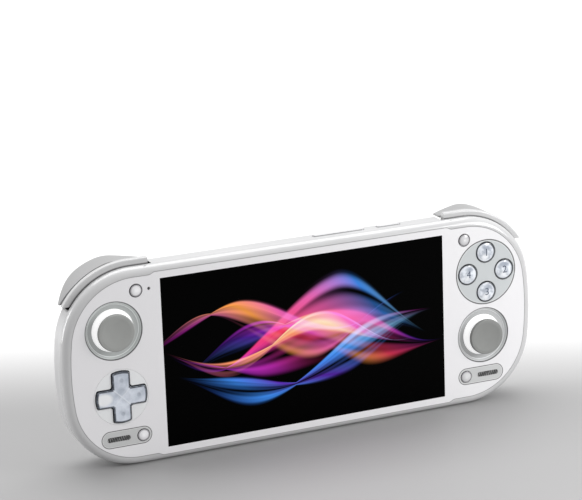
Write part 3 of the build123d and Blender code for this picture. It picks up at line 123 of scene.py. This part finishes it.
# Relief and gloss of the plastics and metals
LINE_SOFT = 0.12
GLOSS_SPREAD = 0.05
PEEL, PEEL_DEPTH = 60.0, 0.01
DRAWN_LINES = (4000.0, 60.0, 400.0)


def at(x, y, depth=0.0):
    """A point in the frame from a place on the face and a depth behind the glass, in millimetres."""
    return Vector((x * MM, FACE + depth * MM, SCREEN_RISE + y * MM))


def shade(colour, share):
    """A colour made darker or lighter by a share."""
    return tuple(part * share for part in colour)


class Surface:
    """A procedural material with short ways to add its nodes."""

    def __init__(self, name, **sockets):
        self.material = bpy.data.materials.new(name)
        self.material.use_nodes = True
        self.tree = self.material.node_tree
        self.shader = self.tree.nodes["Principled BSDF"]
        for key, value in sockets.items():
            self.set(key.replace("_", " ").title().replace("Ior", "IOR"), value)
        place = self.node("TexCoord")
        self.place = place.outputs["Object"]
        self.normal = place.outputs["Normal"]
        self.x, self.y, self.z = self.parts(self.place)

    def node(self, kind):
        return self.tree.nodes.new(f"ShaderNode{kind}")

    def set(self, socket, value):
        if isinstance(value, tuple) and len(value) == 3:
            value = (*value, 1.0)
        self.shader.inputs[socket].default_value = value

    def link(self, output, socket):
        self.tree.links.new(output, self.shader.inputs[socket])

    def feed(self, node, index, value):
        if hasattr(value, "links"):
            self.tree.links.new(value, node.inputs[index])
        else:
            node.inputs[index].default_value = value

    def parts(self, vector):
        node = self.node("SeparateXYZ")
        self.feed(node, 0, vector)
        return node.outputs

    def math(self, operation, *values):
        node = self.node("Math")
        node.operation = operation
        for index, value in enumerate(values):
            self.feed(node, index, value)
        return node.outputs[0]

    def times(self, a, b):
        return self.math("MULTIPLY", a, b)

    def plus(self, a, b):
        return self.math("ADD", a, b)

    def minus(self, a, b):
        return self.math("SUBTRACT", a, b)

    def most(self, a, b):
        return self.math("MAXIMUM", a, b)

    def absolute(self, value):
        return self.math("ABSOLUTE", value)

    def scaled(self, value, share, start):
        """The value times a share, plus a start."""
        return self.math("MULTIPLY_ADD", value, share, start)

    def beyond(self, value, limit):
        """How far a value lies past a limit, or zero."""
        return self.most(self.minus(value, limit), 0.0)

    def range(self, value, low, high, to_low=0.0, to_high=1.0):
        """A smooth step from one end value to the other between the limits."""
        node = self.node("MapRange")
        node.interpolation_type = "SMOOTHSTEP"
        for index, entry in enumerate((value, low, high, to_low, to_high)):
            self.feed(node, index, entry)
        return node.outputs[0]

    def fade(self, value, low, high, full=1.0):
        """A smooth fall to zero between the limits."""
        return self.range(value, low, high, full, 0.0)

    def mix(self, factor, a, b, blend="MIX"):
        node = self.node("Mix")
        node.data_type = "RGBA"
        node.blend_type = blend
        self.feed(node, 0, factor)
        for index, value in ((6, a), (7, b)):
            self.feed(node, index, (*value, 1.0) if isinstance(value, tuple) else value)
        return node.outputs[2]

    def noise(self, scale, detail=3.0, vector=None, roughness=0.5):
        node = self.node("TexNoise")
        self.tree.links.new(vector or self.place, node.inputs["Vector"])
        node.inputs["Scale"].default_value = scale
        node.inputs["Detail"].default_value = detail
        node.inputs["Roughness"].default_value = roughness
        return node.outputs["Fac"]

    def ramp(self, factor, stops):
        node = self.node("ValToRGB")
        self.tree.links.new(factor, node.inputs[0])
        elements = node.color_ramp.elements
        while len(elements) < len(stops):
            elements.new(0.5)
        for element, (place, colour) in zip(elements, stops):
            element.position = place
            element.color = (*colour, 1.0)
        return node.outputs[0]

    def bump(self, height, depth, below=None):
        """Relief of a depth in millimetres, on top of another relief if one is given."""
        node = self.node("Bump")
        node.inputs["Distance"].default_value = depth * MM
        self.tree.links.new(height, node.inputs["Height"])
        if below is not None:
            self.tree.links.new(below, node.inputs["Normal"])
        return node.outputs[0]

    def from_place(self, x, y):
        """Distances to the right and up from a place on the face, in millimetres."""
        return self.scaled(self.x, 1 / MM, -x), self.scaled(self.z, 1 / MM, -(y + SCREEN_RISE / MM))

    def behind_glass(self, depth):
        """How far behind a depth under the glass, in millimetres."""
        return self.scaled(self.y, 1 / MM, -FACE / MM - depth)

    def radius(self, across, up):
        return self.math("SQRT", self.plus(self.times(across, across), self.times(up, up)))

    def far_from(self, x, y):
        """Distance on the face from a place, in millimetres."""
        return self.radius(*self.from_place(x, y))

    def bar_radius(self, across, up, run):
        """Distance from a level line that reaches the run to both sides, in millimetres."""
        return self.radius(self.beyond(self.absolute(across), run), up)

    def outline_distance(self, inset, band=0.0):
        """How far outside the body's lobed outline, drawn inward by the inset, in millimetres."""
        across, up = self.from_place(0.0, 0.0)
        wide = self.absolute(across)
        high = self.absolute(up)
        if band:
            high = self.minus(high, self.fade(wide, BAND_START, BAND_END, band))
        corner = self.radius(self.beyond(wide, CORNER_X), self.beyond(high, CORNER_Y))
        bulge = self.scaled(self.times(up, up), -1 / BULGE_SPREAD, BULGE)
        return self.minus(self.minus(corner, CORNER_RADIUS - inset), self.most(bulge, 0.0))

    def line(self, distance, half_width):
        """One on a thin line where the distance is zero, fading to zero beside it."""
        return self.fade(self.absolute(distance), half_width, half_width + LINE_SOFT)

    def frame_seam(self):
        """The thin line where the glass sits in the frame."""
        return self.line(self.outline_distance(FRAME_INSET, FRAME_BAND), 0.12)

    def outward(self):
        """How far the surface looks straight out of the body's lobed outline, from -1 to 1."""
        normal_x, _, normal_z = self.parts(self.normal)
        across, up = self.from_place(0.0, 0.0)
        wide = self.beyond(self.absolute(across), CORNER_X)
        high = self.beyond(self.absolute(up), CORNER_Y)
        sideways = self.times(self.times(wide, self.math("SIGN", across)), normal_x)
        upward = self.times(self.times(high, self.math("SIGN", up)), normal_z)
        return self.math("DIVIDE", self.plus(sideways, upward), self.most(self.radius(wide, high), 1.0))

    def facing(self):
        """How far the surface looks to the front of the console, from -1 to 1."""
        _, normal_y, _ = self.parts(self.normal)
        return self.times(normal_y, -1.0)


def moulded(name, tones, rough, grain=900.0, grain_depth=0.004, **sockets):
    """Moulded plastic: slow colour drift, uneven gloss, a fine grain and a slight unevenness."""
    s = Surface(name, **sockets)
    light, dark = tones
    s.colour = s.mix(s.range(s.noise(18.0, 4.0), 0.3, 0.7), dark, light)
    s.link(s.colour, "Base Color")
    gloss = s.noise(45.0, 5.0, roughness=0.6)
    s.link(s.range(gloss, 0.25, 0.75, rough - GLOSS_SPREAD / 2, rough + GLOSS_SPREAD / 2), "Roughness")
    slow = s.bump(s.noise(PEEL, 1.0), PEEL_DEPTH)
    s.link(s.bump(s.noise(grain, 2.0), grain_depth, slow), "Normal")
    return s


def brushed(name, colour, rough):
    """Metal with fine drawn lines."""
    s = Surface(name, metallic=1.0)
    lines = s.node("CombineXYZ")
    for index, (part, stretch) in enumerate(zip((s.x, s.y, s.z), DRAWN_LINES)):
        s.feed(lines, index, s.times(part, stretch))
    streak = s.noise(1.0, 3.0, lines.outputs[0])
    s.link(s.mix(s.range(streak, 0.3, 0.7), shade(colour, 0.8), colour), "Base Color")
    s.link(s.range(streak, 0.2, 0.8, rough - 0.08, rough + 0.08), "Roughness")
    s.link(s.bump(streak, 0.01), "Normal")
    return s


def front_plastic():
    """The front frame: satin plastic with a fine dark seam where the glass sits in it."""
    s = moulded("shell_front", SHELL, 0.24, coat_weight=0.7, coat_roughness=0.1)
    seam = s.times(s.frame_seam(), s.range(s.facing(), 0.55, 0.8))
    s.link(s.mix(s.times(seam, 0.5), s.colour, FRONT_SEAM), "Base Color")
    return s


def edge_key_radius(s, place, length):
    """Distance from the middle line of a slim round-ended key in the top edge, in millimetres."""
    across, _ = s.from_place(place, 0.0)
    return s.bar_radius(across, s.behind_glass(EDGE_KEY_DEPTH), (length - EDGE_KEY_WIDTH) / 2)


def back_plastic():
    """The back shell: satin plastic with seams round the edge keys and dark shoulder notches of painted
    shadow, dulled there too.
    """
    gloss = {"coat_weight": 0.35, "coat_roughness": 0.2}
    s = moulded("shell_back", SHELL, 0.3, grain=1500.0, grain_depth=0.012, **gloss)
    across, up = s.from_place(0.0, 0.0)
    deep = s.outline_distance(0.0)
    # Painted shadow: the shoulder notches and their walls turn nearly black and lose their gloss.
    wall_shade = s.times(s.fade(deep, -0.08, 0.0), s.fade(s.outward(), 0.35, 0.5))
    notch = s.most(s.fade(deep, -1.2, -0.9), wall_shade)
    notch = s.times(notch, s.range(s.absolute(across), 78.4, 79.4))
    notch = s.times(notch, s.range(up, 30.5, 31.5))
    notch = s.times(notch, s.fade(s.behind_glass(0.0), 13.5, 14.5))
    white = s.colour
    for place, length in (POWER_KEY, VOLUME_KEY):
        seam = s.line(s.minus(edge_key_radius(s, place, length), 1.68), 0.1)
        seam = s.times(s.times(seam, s.range(up, 49.0, 49.5)), 0.8)
        white = s.mix(seam, white, SEAM)
    s.link(s.mix(notch, white, NOTCH_SHADOW), "Base Color")
    s.link(s.scaled(notch, -0.5, 0.5), "Specular IOR Level")
    s.link(s.scaled(notch, -0.35, 0.35), "Coat Weight")
    return s


def slim_key(name, place, length):
    """A slim key in the top edge: pale crown, grey rim."""
    s = moulded(name, SLIM_KEY, 0.2, coat_weight=0.8, coat_roughness=0.08)
    rim = s.range(edge_key_radius(s, place, length), 1.05, 1.45)
    s.link(s.mix(s.times(rim, 0.8), s.colour, SLIM_RIM), "Base Color")
    return s


def bumper_plastic():
    """The bumpers: satin plastic, in shadow where the front frame overlaps them."""
    s = moulded("shoulder_white", BUMPER, 0.26, coat_weight=0.5, coat_roughness=0.12)
    shadow = s.times(s.fade(s.outline_distance(0.0), 0.25, 1.0), s.range(s.facing(), 0.3, 0.7))
    s.link(s.mix(s.times(shadow, 0.85), s.colour, BUMPER_SHADOW), "Base Color")
    return s


def round_key(name, place, tone):
    """A pearly white key: a bright crown as painted highlight, a soft grey rim and dark sides as painted
    shade.
    """
    tones = ((tone, tone, tone * 1.01), (tone * 0.95, tone * 0.945, tone * 0.97))
    s = moulded(name, tones, 0.14, coat_weight=1.0, coat_roughness=0.05)
    far = s.far_from(*place)
    # Painted highlight: the middle of the crown is lighter than the key's own tone.
    crown_highlight = s.mix(s.range(far, 0.2, 2.1), (tone * 1.15, tone * 1.145, tone * 1.16), s.colour)
    rim = s.mix(s.range(far, 2.05, 2.75), crown_highlight, KEY_RIM)
    # Painted shade: the sides that do not face the front are made nearly black.
    s.link(s.mix(s.fade(s.facing(), 0.15, 0.5), rim, KEY_SIDE_SHADE), "Base Color")
    return s


def stick_ring(name, place, tone):
    """The sloped ring round a stick: silver, darker towards the stick as painted shade, a fine dark outer
    line and a pale inner lip that is a painted highlight.
    """
    s = moulded(name, (tone, shade(tone, 0.9)), 0.3, coat_weight=0.35, coat_roughness=0.18, metallic=0.1)
    far = s.far_from(*place)
    # Painted shade: the ring turns darker towards the stick, where it dips.
    slope_shade = s.mix(s.range(far, 13.0, 14.35), shade(tone, 0.8), s.colour)
    # Painted highlight: a thin pale line along the inner lip.
    pale = tuple(min(part, RING_HIGHLIGHT_MOST) for part in shade(tone, 1.3))
    lip = s.mix(s.line(s.minus(far, 13.25), 0.12), slope_shade, pale)
    s.link(s.mix(s.range(far, 14.32, 14.5), lip, GAP_LINE_AND_SHADOW), "Base Color")
    return s


def dome(name):
    """The white dome under a stick's cap, with a painted glow that makes it look lit."""
    s = moulded(name, DOME, 0.2, coat_weight=0.5, coat_roughness=0.1)
    # Painted light: the dome glows, though it is no lamp.
    s.set("Emission Color", WHITE)
    s.set("Emission Strength", DOME_PAINTED_GLOW)
    return s


def round_plate():
    """The pale round plate of the face buttons, with dark gaps round them as painted shadow, heavier to the
    right, and a dark edge line.
    """
    s = moulded("plate_pale", BUTTON_PLATE, 0.3, coat_weight=0.5, coat_roughness=0.1)
    far = s.far_from(*UPPER)
    edge = s.mix(s.range(far, 16.2, 16.8), s.colour, PLATE_LIP)
    # Painted shadow: a dark ring on the plate round each button, centred a little to the right.
    for x, y in BUTTONS.values():
        edge = s.mix(s.fade(s.far_from(x + 0.12, y), 5.68, 5.85, 0.8), edge, GAP_LINE_AND_SHADOW)
    s.link(s.mix(s.range(far, 16.82, 16.98), edge, PLATE_GAP), "Base Color")
    return s


def glass_front():
    """Glass printed white from behind, polished, with fine dark seams at its openings."""
    s = Surface("front_glass", coat_weight=1.0, coat_roughness=0.03, roughness=0.3)
    light, dark = PRINTED_WHITE
    white = s.mix(s.range(s.noise(9.0, 3.0), 0.3, 0.7), dark, light)
    openings = (
        (STICKS["left"], RING_HOLE),
        (STICKS["right"], RING_HOLE),
        (UPPER, PLATE_HOLE),
        ((-KEY_X, KEY_TOP), KEY_HOLE),
        ((KEY_X, KEY_TOP), KEY_HOLE),
    )
    seam = 0.0
    for place, radius in openings:
        seam = s.most(seam, s.line(s.minus(s.far_from(*place), radius), 0.14))
    for sign in (-1, 1):
        pill = s.bar_radius(*s.from_place(sign * PILL_X, PILL_Y), PILL_RUN)
        seam = s.most(seam, s.line(s.minus(pill, PILL_RADIUS), 0.12))
    seam = s.most(s.times(seam, 0.85), s.times(s.frame_seam(), 0.5))
    s.link(s.mix(seam, white, SEAM), "Base Color")
    s.link(s.bump(s.noise(25.0, 1.0), 0.004), "Normal")
    return s


def stick_rubber(name, tone):
    """Soft grey cap with a fine matte grain and a few polished spots where the thumb rests."""
    s = Surface(name, specular_ior_level=0.35)
    worn = (tone * 0.96, tone * 0.98, tone * 0.95)
    fresh = (tone, tone * 1.02, tone * 0.99)
    s.link(s.mix(s.range(s.noise(160.0, 4.0), 0.3, 0.7), worn, fresh), "Base Color")
    s.link(s.range(s.noise(300.0, 4.0), 0.3, 0.7, 0.5, 0.66), "Roughness")
    s.link(s.bump(s.noise(2600.0, 3.0), 0.02), "Normal")
    return s


def cross_milky():
    """Milky clear cross: dark bevels all round as painted shade with painted glints, crease lines with a
    painted highlight, three dimples in painted shade and one bright arm that is a painted highlight.
    """
    s = Surface("cross_milky", roughness=0.16, coat_weight=0.9, coat_roughness=0.06, transmission_weight=0.08)
    across, up = s.from_place(-LOWER[0], LOWER[1])
    wide = s.absolute(across)
    high = s.absolute(up)
    far = s.most(wide, high)
    near = s.math("MINIMUM", wide, high)
    crease = s.times(s.fade(s.absolute(s.minus(wide, high)), 0.2, 0.75), s.fade(far, 3.9, 4.6))
    spot = s.radius(s.minus(far, 8.6), near)
    dull_arms = s.range(across, -6.0, -5.0)
    dimple = s.times(s.fade(spot, 0.5, 1.5), dull_arms)
    ring = s.times(s.times(s.range(spot, 0.9, 1.4), s.fade(spot, 1.5, 2.1)), dull_arms)
    cloud = s.noise(150.0, 4.0)
    base = s.mix(s.range(cloud, 0.32, 0.68), *CROSS_CLOUD)
    # Painted highlight: a bright patch over the left arm.
    arm_highlight = s.radius(s.times(s.plus(across, 9.4), 0.72), up)
    base = s.mix(s.fade(arm_highlight, 2.2, 4.0, 0.95), base, PAINTED_SHINE)
    # Painted highlight along the crease lines, and painted shade in the dimples and round their rims.
    base = s.mix(s.times(crease, 0.5), base, CROSS_CREASE_HIGHLIGHT)
    base = s.mix(s.times(dimple, 0.35), base, CROSS_DIMPLE_SHADE)
    base = s.mix(s.times(ring, 0.25), base, CROSS_RING_SHADE)
    # Painted shade: the bevels and the side walls turn dark, with scattered painted glints.
    sides = s.times(s.range(near, 3.45, 4.0), s.range(far, 4.0, 4.6))
    bevel = s.most(sides, s.range(s.radius(across, up), 11.9, 12.5))
    glint = s.times(s.range(s.noise(420.0, 2.0), 0.52, 0.66), 0.35)
    edge = s.mix(glint, *CROSS_BEVEL_SHADE_GLINT)
    base = s.mix(bevel, base, edge)
    s.link(s.mix(s.fade(s.facing(), 0.5, 0.85), base, edge), "Base Color")
    height = s.minus(s.times(crease, 0.5), dimple)
    s.link(s.bump(height, 0.15, s.bump(cloud, 0.03)), "Normal")
    return s


def crystal(name, place):
    """Clear button: a dark ring at its rim and dark side walls as painted shade, a milky lens-like middle, a
    darker top as painted shade, and soft bright patches and a light halo as painted highlights.
    """
    s = Surface(name, roughness=0.06, coat_weight=1.0, coat_roughness=0.02, transmission_weight=0.08)
    across, up = s.from_place(*place)
    cloud = s.noise(330.0, 5.0)
    base = s.mix(s.range(cloud, 0.36, 0.64), *BUTTON_CLOUD)
    # Painted highlight: a bright patch low on the left of the crown.
    low = s.radius(s.times(s.plus(across, 0.9), 0.8), s.plus(up, 2.2))
    base = s.mix(s.fade(low, 0.3, 2.4, 0.75), base, PAINTED_SHINE)
    # Painted shade: the top of the crown is darkened.
    high = s.radius(s.times(across, 0.6), s.minus(up, 2.9))
    base = s.mix(s.fade(high, 0.3, 1.8, 0.6), base, BUTTON_SHADE)
    # Painted highlight: a light halo inside the rim; then painted shade: the dark ring at the rim.
    lens = s.radius(s.plus(across, 0.4), s.minus(up, 0.1))
    halo = s.times(s.range(lens, 3.8, 4.2), s.fade(lens, 4.4, 4.7))
    base = s.mix(s.times(halo, 0.5), base, BUTTON_HALO_HIGHLIGHT)
    base = s.mix(s.range(lens, 4.6, 4.9), base, BUTTON_RIM_SHADE)
    # Painted shade on the side walls, lighter on the left and darker on the right.
    wall_shade = s.mix(s.range(across, -4.2, -1.0), *BUTTON_WALL_SHADE)
    s.link(s.mix(s.fade(s.facing(), 0.3, 0.75), base, wall_shade), "Base Color")
    s.link(s.bump(cloud, 0.04), "Normal")
    return s


def speaker_pill(name, sign):
    """Speaker pill: pale plastic with a dark woven mesh in its slot."""
    s = Surface(name, coat_weight=0.3, coat_roughness=0.2)
    across, up = s.from_place(sign * GRILLE_X, GRILLE_Y)
    slot = s.fade(s.bar_radius(across, up, GRILLE_RUN), 1.2, 1.35)
    slant = s.scaled(up, 1.9, s.times(across, 5.2))
    weave = s.range(s.math("SINE", slant), -0.4, 0.7)
    drift = s.noise(40.0, 3.0)
    light, dark = PILL
    whole = s.bar_radius(*s.from_place(sign * PILL_X, PILL_Y), PILL_RUN)
    pale = s.mix(s.range(whole, 3.7, 4.0), s.mix(drift, dark, light), PILL_LIP)
    pale = s.mix(s.range(whole, 4.02, 4.16), pale, PILL_SEAM)
    thread, hole = GRILLE_MESH
    s.link(s.mix(slot, pale, s.mix(weave, hole, thread)), "Base Color")
    s.link(s.range(drift, 0.3, 0.7, 0.3, 0.38), "Roughness")
    s.link(s.bump(s.times(weave, slot), 0.08), "Normal")
    return s


def board():
    """Green circuit board with tinned pads and tracks."""
    s = Surface("circuit_board", roughness=0.4)
    cells = s.node("TexVoronoi")
    cells.distance = "MANHATTAN"
    cells.inputs["Scale"].default_value = 350.0
    s.tree.links.new(s.place, cells.inputs["Vector"])
    pad = s.fade(cells.outputs["Distance"], 0.12, 0.2)
    mask = s.mix(s.range(s.noise(220.0, 2.0), 0.48, 0.52), *BOARD_MASK)
    s.link(s.mix(pad, mask, BOARD_PAD), "Base Color")
    s.link(s.times(pad, 0.8), "Metallic")
    s.link(s.bump(pad, 0.05), "Normal")
    return s


def foil():
    """Battery wrap: dark crinkled foil."""
    s = Surface("battery_wrap", roughness=0.35)
    crinkle = s.noise(120.0, 6.0)
    s.link(s.mix(crinkle, *WRAP), "Base Color")
    s.link(s.bump(crinkle, 0.2), "Normal")
    return s


# Each piece's surface
black_plastic = moulded("black_plastic", BLACK_PLASTIC, 0.5, grain_depth=0.02)
mat_rubber = moulded("mat_rubber", MAT, 0.6, grain_depth=0.02)
trigger = moulded("trigger_grey", TRIGGER, 0.38, grain_depth=0.012, coat_weight=0.15, coat_roughness=0.3)
bumper = bumper_plastic()
steel = brushed("steel", STEEL, 0.32)
copper = brushed("copper", COPPER, 0.3)
circuit = board()
surfaces = {
    "front_glass": glass_front(),
    "front_shell": front_plastic(),
    "rear_shell": back_plastic(),
    "midframe": brushed("frame_alloy", ALLOY, 0.4),
    "cross_pad": cross_milky(),
    "cross_plate": moulded("cross_plate_pale", CROSS_PLATE, 0.3, coat_weight=0.4, coat_roughness=0.15),
    "button_plate": round_plate(),
    "power_key": slim_key("power_white", *POWER_KEY),
    "volume_key": slim_key("volume_white", *VOLUME_KEY),
    "battery": foil(),
    "cross_mat": mat_rubber,
    "button_mat": mat_rubber,
    "heat_spreader": copper,
    "heat_pipe": copper,
}
for name in ("display_panel", "microphone", "fan_housing", "fan_rotor"):
    surfaces[name] = black_plastic
for name in ("edge_board", "mainboard", "socket_board"):
    surfaces[name] = circuit
for name in (
    "cross_pivot_ball", "bumper_pins", "trigger_pins", "trigger_springs",
    "usb_port", "card_reader", "haptic_motors", "case_screws",
):
    surfaces[name] = steel
for name, place in BUTTONS.items():
    surfaces[f"face_button_{name}"] = crystal(f"crystal_{name}", place)
for side, sign in (("left", -1), ("right", 1)):
    surfaces.update({
        f"key_upper_{side}": round_key(f"key_upper_{side}", (sign * KEY_X, KEY_TOP), KEY_LIT_TONE_BY_SIDE[side]),
        f"key_lower_{side}": round_key(f"key_lower_{side}", (sign * KEY_X, KEY_LOW), KEY_LIT_TONE_BY_SIDE[side]),
        f"light_ring_{side}": stick_ring(f"light_ring_{side}", STICKS[side], RING_LIT_TONE_BY_SIDE[side]),
        f"stick_cap_{side}": stick_rubber(f"stick_grey_{side}", CAP_LIT_TONE_BY_SIDE[side]),
        f"stick_dome_{side}": dome(f"dome_{side}"),
        f"inner_yoke_{side}": black_plastic,
        f"outer_yoke_{side}": black_plastic,
        f"stick_module_{side}": steel,
        f"speaker_{side}": black_plastic,
        f"speaker_inset_{side}": speaker_pill(f"inset_{side}", sign),
        f"control_board_{side}": circuit,
        f"bumper_{side}": bumper,
        f"trigger_{side}": trigger,
    })
for name, obj in nodes.items():
    obj.data.materials.clear()
    obj.data.materials.append(surfaces[name].material)


def ribbon(s, u, v, path, width, twist, strands, tones):
    """A silky band of light along a wave, thin where it twists, as a colour over black."""
    amount, pace, start, rise, tilt = path
    turns, phase, shift = twist
    centre = s.times(s.math("SINE", s.scaled(u, pace, start)), amount)
    centre = s.plus(centre, s.scaled(u, tilt, rise))
    turn = s.absolute(s.math("SINE", s.scaled(u, turns, phase)))
    taper = s.fade(s.absolute(s.plus(u, shift)), 0.25, 0.92)
    half = s.times(s.scaled(turn, width, 0.02), s.scaled(taper, 0.95, 0.05))
    q = s.math("DIVIDE", s.minus(v, centre), half)
    body = s.fade(s.absolute(q), 0.55, 1.0)
    sway = s.times(s.math("SINE", s.scaled(u, 3.1, start)), 2.2)
    wave = s.math("SINE", s.plus(s.times(q, strands), sway))
    fine = s.math("SINE", s.plus(s.times(q, strands * 4.3), sway))
    silk = s.scaled(wave, 0.40, s.scaled(fine, 0.10, 0.46))
    crest = s.fade(s.absolute(s.minus(q, 0.72)), 0.02, 0.2, 0.9)
    level = s.times(s.plus(s.times(silk, body), crest), taper)
    spread = s.scaled(u, 0.5, s.scaled(q, 0.13, 0.5))
    return s.mix(level, BLACK, s.ramp(spread, tones))


# The ribbons: amount, pace, start, rise and tilt of the wave; width; twist; strands; tones
RIBBONS = (
    ((0.30, 3.3, 0.4, 0.02, -0.16), 0.52, (1.9, 1.1, 0.05), 4.4,
     [(0.0, VIOLET), (0.3, MAGENTA), (0.46, RED), (0.6, ROSE), (0.78, BLUE), (1.0, SKY)]),
    ((0.36, 2.5, 2.3, -0.10, 0.20), 0.34, (2.6, 0.4, -0.1), 3.4,
     [(0.0, BLUE), (0.28, VIOLET), (0.45, MAGENTA), (0.58, ORANGE), (0.72, RED), (1.0, VIOLET)]),
    ((0.24, 4.4, 4.2, 0.22, -0.05), 0.26, (3.0, 2.0, 0.2), 3.0,
     [(0.0, MAGENTA), (0.32, ORANGE), (0.5, ROSE), (0.7, VIOLET), (1.0, BLUE)]),
    ((0.28, 2.9, 5.3, -0.24, 0.10), 0.30, (2.2, 0.2, 0.0), 5.2,
     [(0.0, DEEP), (0.3, BLUE), (0.5, VIOLET), (0.66, BLUE), (0.8, SKY), (1.0, MAGENTA)]),
    ((0.20, 5.0, 1.2, 0.0, 0.0), 0.12, (3.6, 0.9, 0.1), 2.2,
     [(0.0, ROSE), (0.4, ORANGE), (0.55, GOLD), (0.7, MAGENTA), (1.0, SKY)]),
)


def picture():
    """The lit screen: silky ribbons of coloured light that cross on black."""
    s = Surface("screen_picture", base_color=BLACK, roughness=0.2, specular_ior_level=0.03)
    across, up = s.from_place(0.0, 0.0)
    u = s.times(across, 2 / SCREEN_WIDTH)
    v = s.times(up, 2 / SCREEN_HEIGHT)
    total = BLACK
    for path, width, twist, strands, tones in RIBBONS:
        total = s.mix(1.0, total, ribbon(s, u, v, path, width, twist, strands, tones), "SCREEN")
    s.link(total, "Emission Color")
    s.set("Emission Strength", 1.0)
    return s


def add_object(name, data):
    obj = bpy.data.objects.new(name, data)
    bpy.context.scene.collection.objects.link(obj)
    return obj


def flat_sheet(name, corners, surface):
    """A flat piece with one face through its corners."""
    data = bpy.data.meshes.new(name)
    bm = bmesh.new()
    bm.faces.new([bm.verts.new(corner) for corner in corners])
    bm.to_mesh(data)
    bm.free()
    data.materials.append(surface.material)
    return add_object(name, data)


half_width, half_height = SCREEN_WIDTH / 2, SCREEN_HEIGHT / 2
screen_corners = [at(sx * half_width, sy * half_height, -SCREEN_PROUD) for sx, sy in CORNERS]
lit = flat_sheet("screen_picture", screen_corners, picture())
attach(lit, "console")

# Plain numbers on the clear crowns of the face buttons
digit_ink = moulded("digit_ink", INK, 0.4, grain_depth=0.01)
for digit, name in zip("1234", ("top", "right", "bottom", "left")):
    text = bpy.data.curves.new(f"digit_{digit}", "FONT")
    text.body = digit
    text.size = DIGIT_SIZE * MM
    text.align_x = "CENTER"
    text.align_y = "CENTER"
    text.extrude = DIGIT_RELIEF * MM
    text.materials.append(digit_ink.material)
    mark = add_object(f"digit_{digit}", text)
    low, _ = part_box(f"face_button_{name}")
    place = at(*BUTTONS[name])
    mark.location = (place.x, low[1] + DIGIT_SUNK * MM, place.z)
    mark.rotation_euler = (math.pi / 2, 0.0, 0.0)
    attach(mark, f"face_button_{name}")

# Camera at the photograph's viewing angle
CAMERA_PLACE = (-0.4435, -1.0149, 0.3949)
CAMERA_LOOK = (0.3838, 0.8858, -0.261)
CAMERA_UP = (0.1371, 0.2248, 0.9647)
camera_data = bpy.data.cameras.new("camera")
camera_data.lens = 141.0
camera_data.sensor_width = 36.0
camera_data.clip_start = 0.01
camera = add_object("camera", camera_data)
look = Vector(CAMERA_LOOK).normalized()
right = look.cross(Vector(CAMERA_UP)).normalized()
turn = Matrix((right, right.cross(look), -look)).transposed()
camera.matrix_world = Matrix.Translation(Vector(CAMERA_PLACE)) @ turn.to_4x4()
bpy.context.scene.camera = camera

# Plain pale floor, darker near the console and whiter and glowing farther back, as painted light and shade
FLOOR_NEAR_SHADE = ((0.325, 0.323, 0.325), (0.355, 0.353, 0.355))
FLOOR_FAR_LIGHT = (0.93, 0.93, 0.93)
FLOOR_REACH = 6.0
floor = Surface("floor_pale", roughness=0.6)
# Painted light and shade: the floor turns from grey to white farther back and to the right.
far_light = floor.range(floor.scaled(floor.x, 0.45, floor.y), 0.03, 0.27)
near = floor.mix(floor.noise(3.0, 3.0), *FLOOR_NEAR_SHADE)
floor.link(floor.mix(far_light, near, FLOOR_FAR_LIGHT), "Base Color")
# Painted light: the floor glows more the farther back it lies.
floor.link(floor.range(floor.y, 0.3, 1.6), "Emission Color")
floor.set("Emission Strength", 0.4)
floor.link(floor.bump(floor.noise(400.0, 2.0), 0.02), "Normal")
flat_sheet("floor", [(sx * FLOOR_REACH, sy * FLOOR_REACH, 0.0) for sx, sy in CORNERS], floor)

# Soft studio light: place, target, size and power of each light
MIDDLE = (0.0, 0.0, 0.05)
LIGHTS = {
    "key_right": ((0.42, -0.36, 0.24), (0.14, 0.0, 0.07), (0.25, 0.25), 1.8),
    "top": ((0.05, 0.3, 0.95), MIDDLE, (1.1, 0.7), 7.4),
    "strip_left": ((-0.8, 0.35, 0.2), MIDDLE, (0.2, 0.5), 2.3),
}
for name, (place, target, size, power) in LIGHTS.items():
    data = bpy.data.lights.new(name, "AREA")
    data.shape = "RECTANGLE"
    data.size, data.size_y = size
    data.energy = power
    lamp = add_object(name, data)
    lamp.location = place
    lamp.rotation_euler = (Vector(target) - Vector(place)).to_track_quat("-Z", "Y").to_euler()

world = bpy.data.worlds.new("studio")
world.use_nodes = True
background = world.node_tree.nodes["Background"]
background.inputs["Color"].default_value = (1.0, 1.0, 1.0, 1.0)
background.inputs["Strength"].default_value = 0.755
bpy.context.scene.world = world
bpy.context.scene.view_settings.view_transform = "Standard"
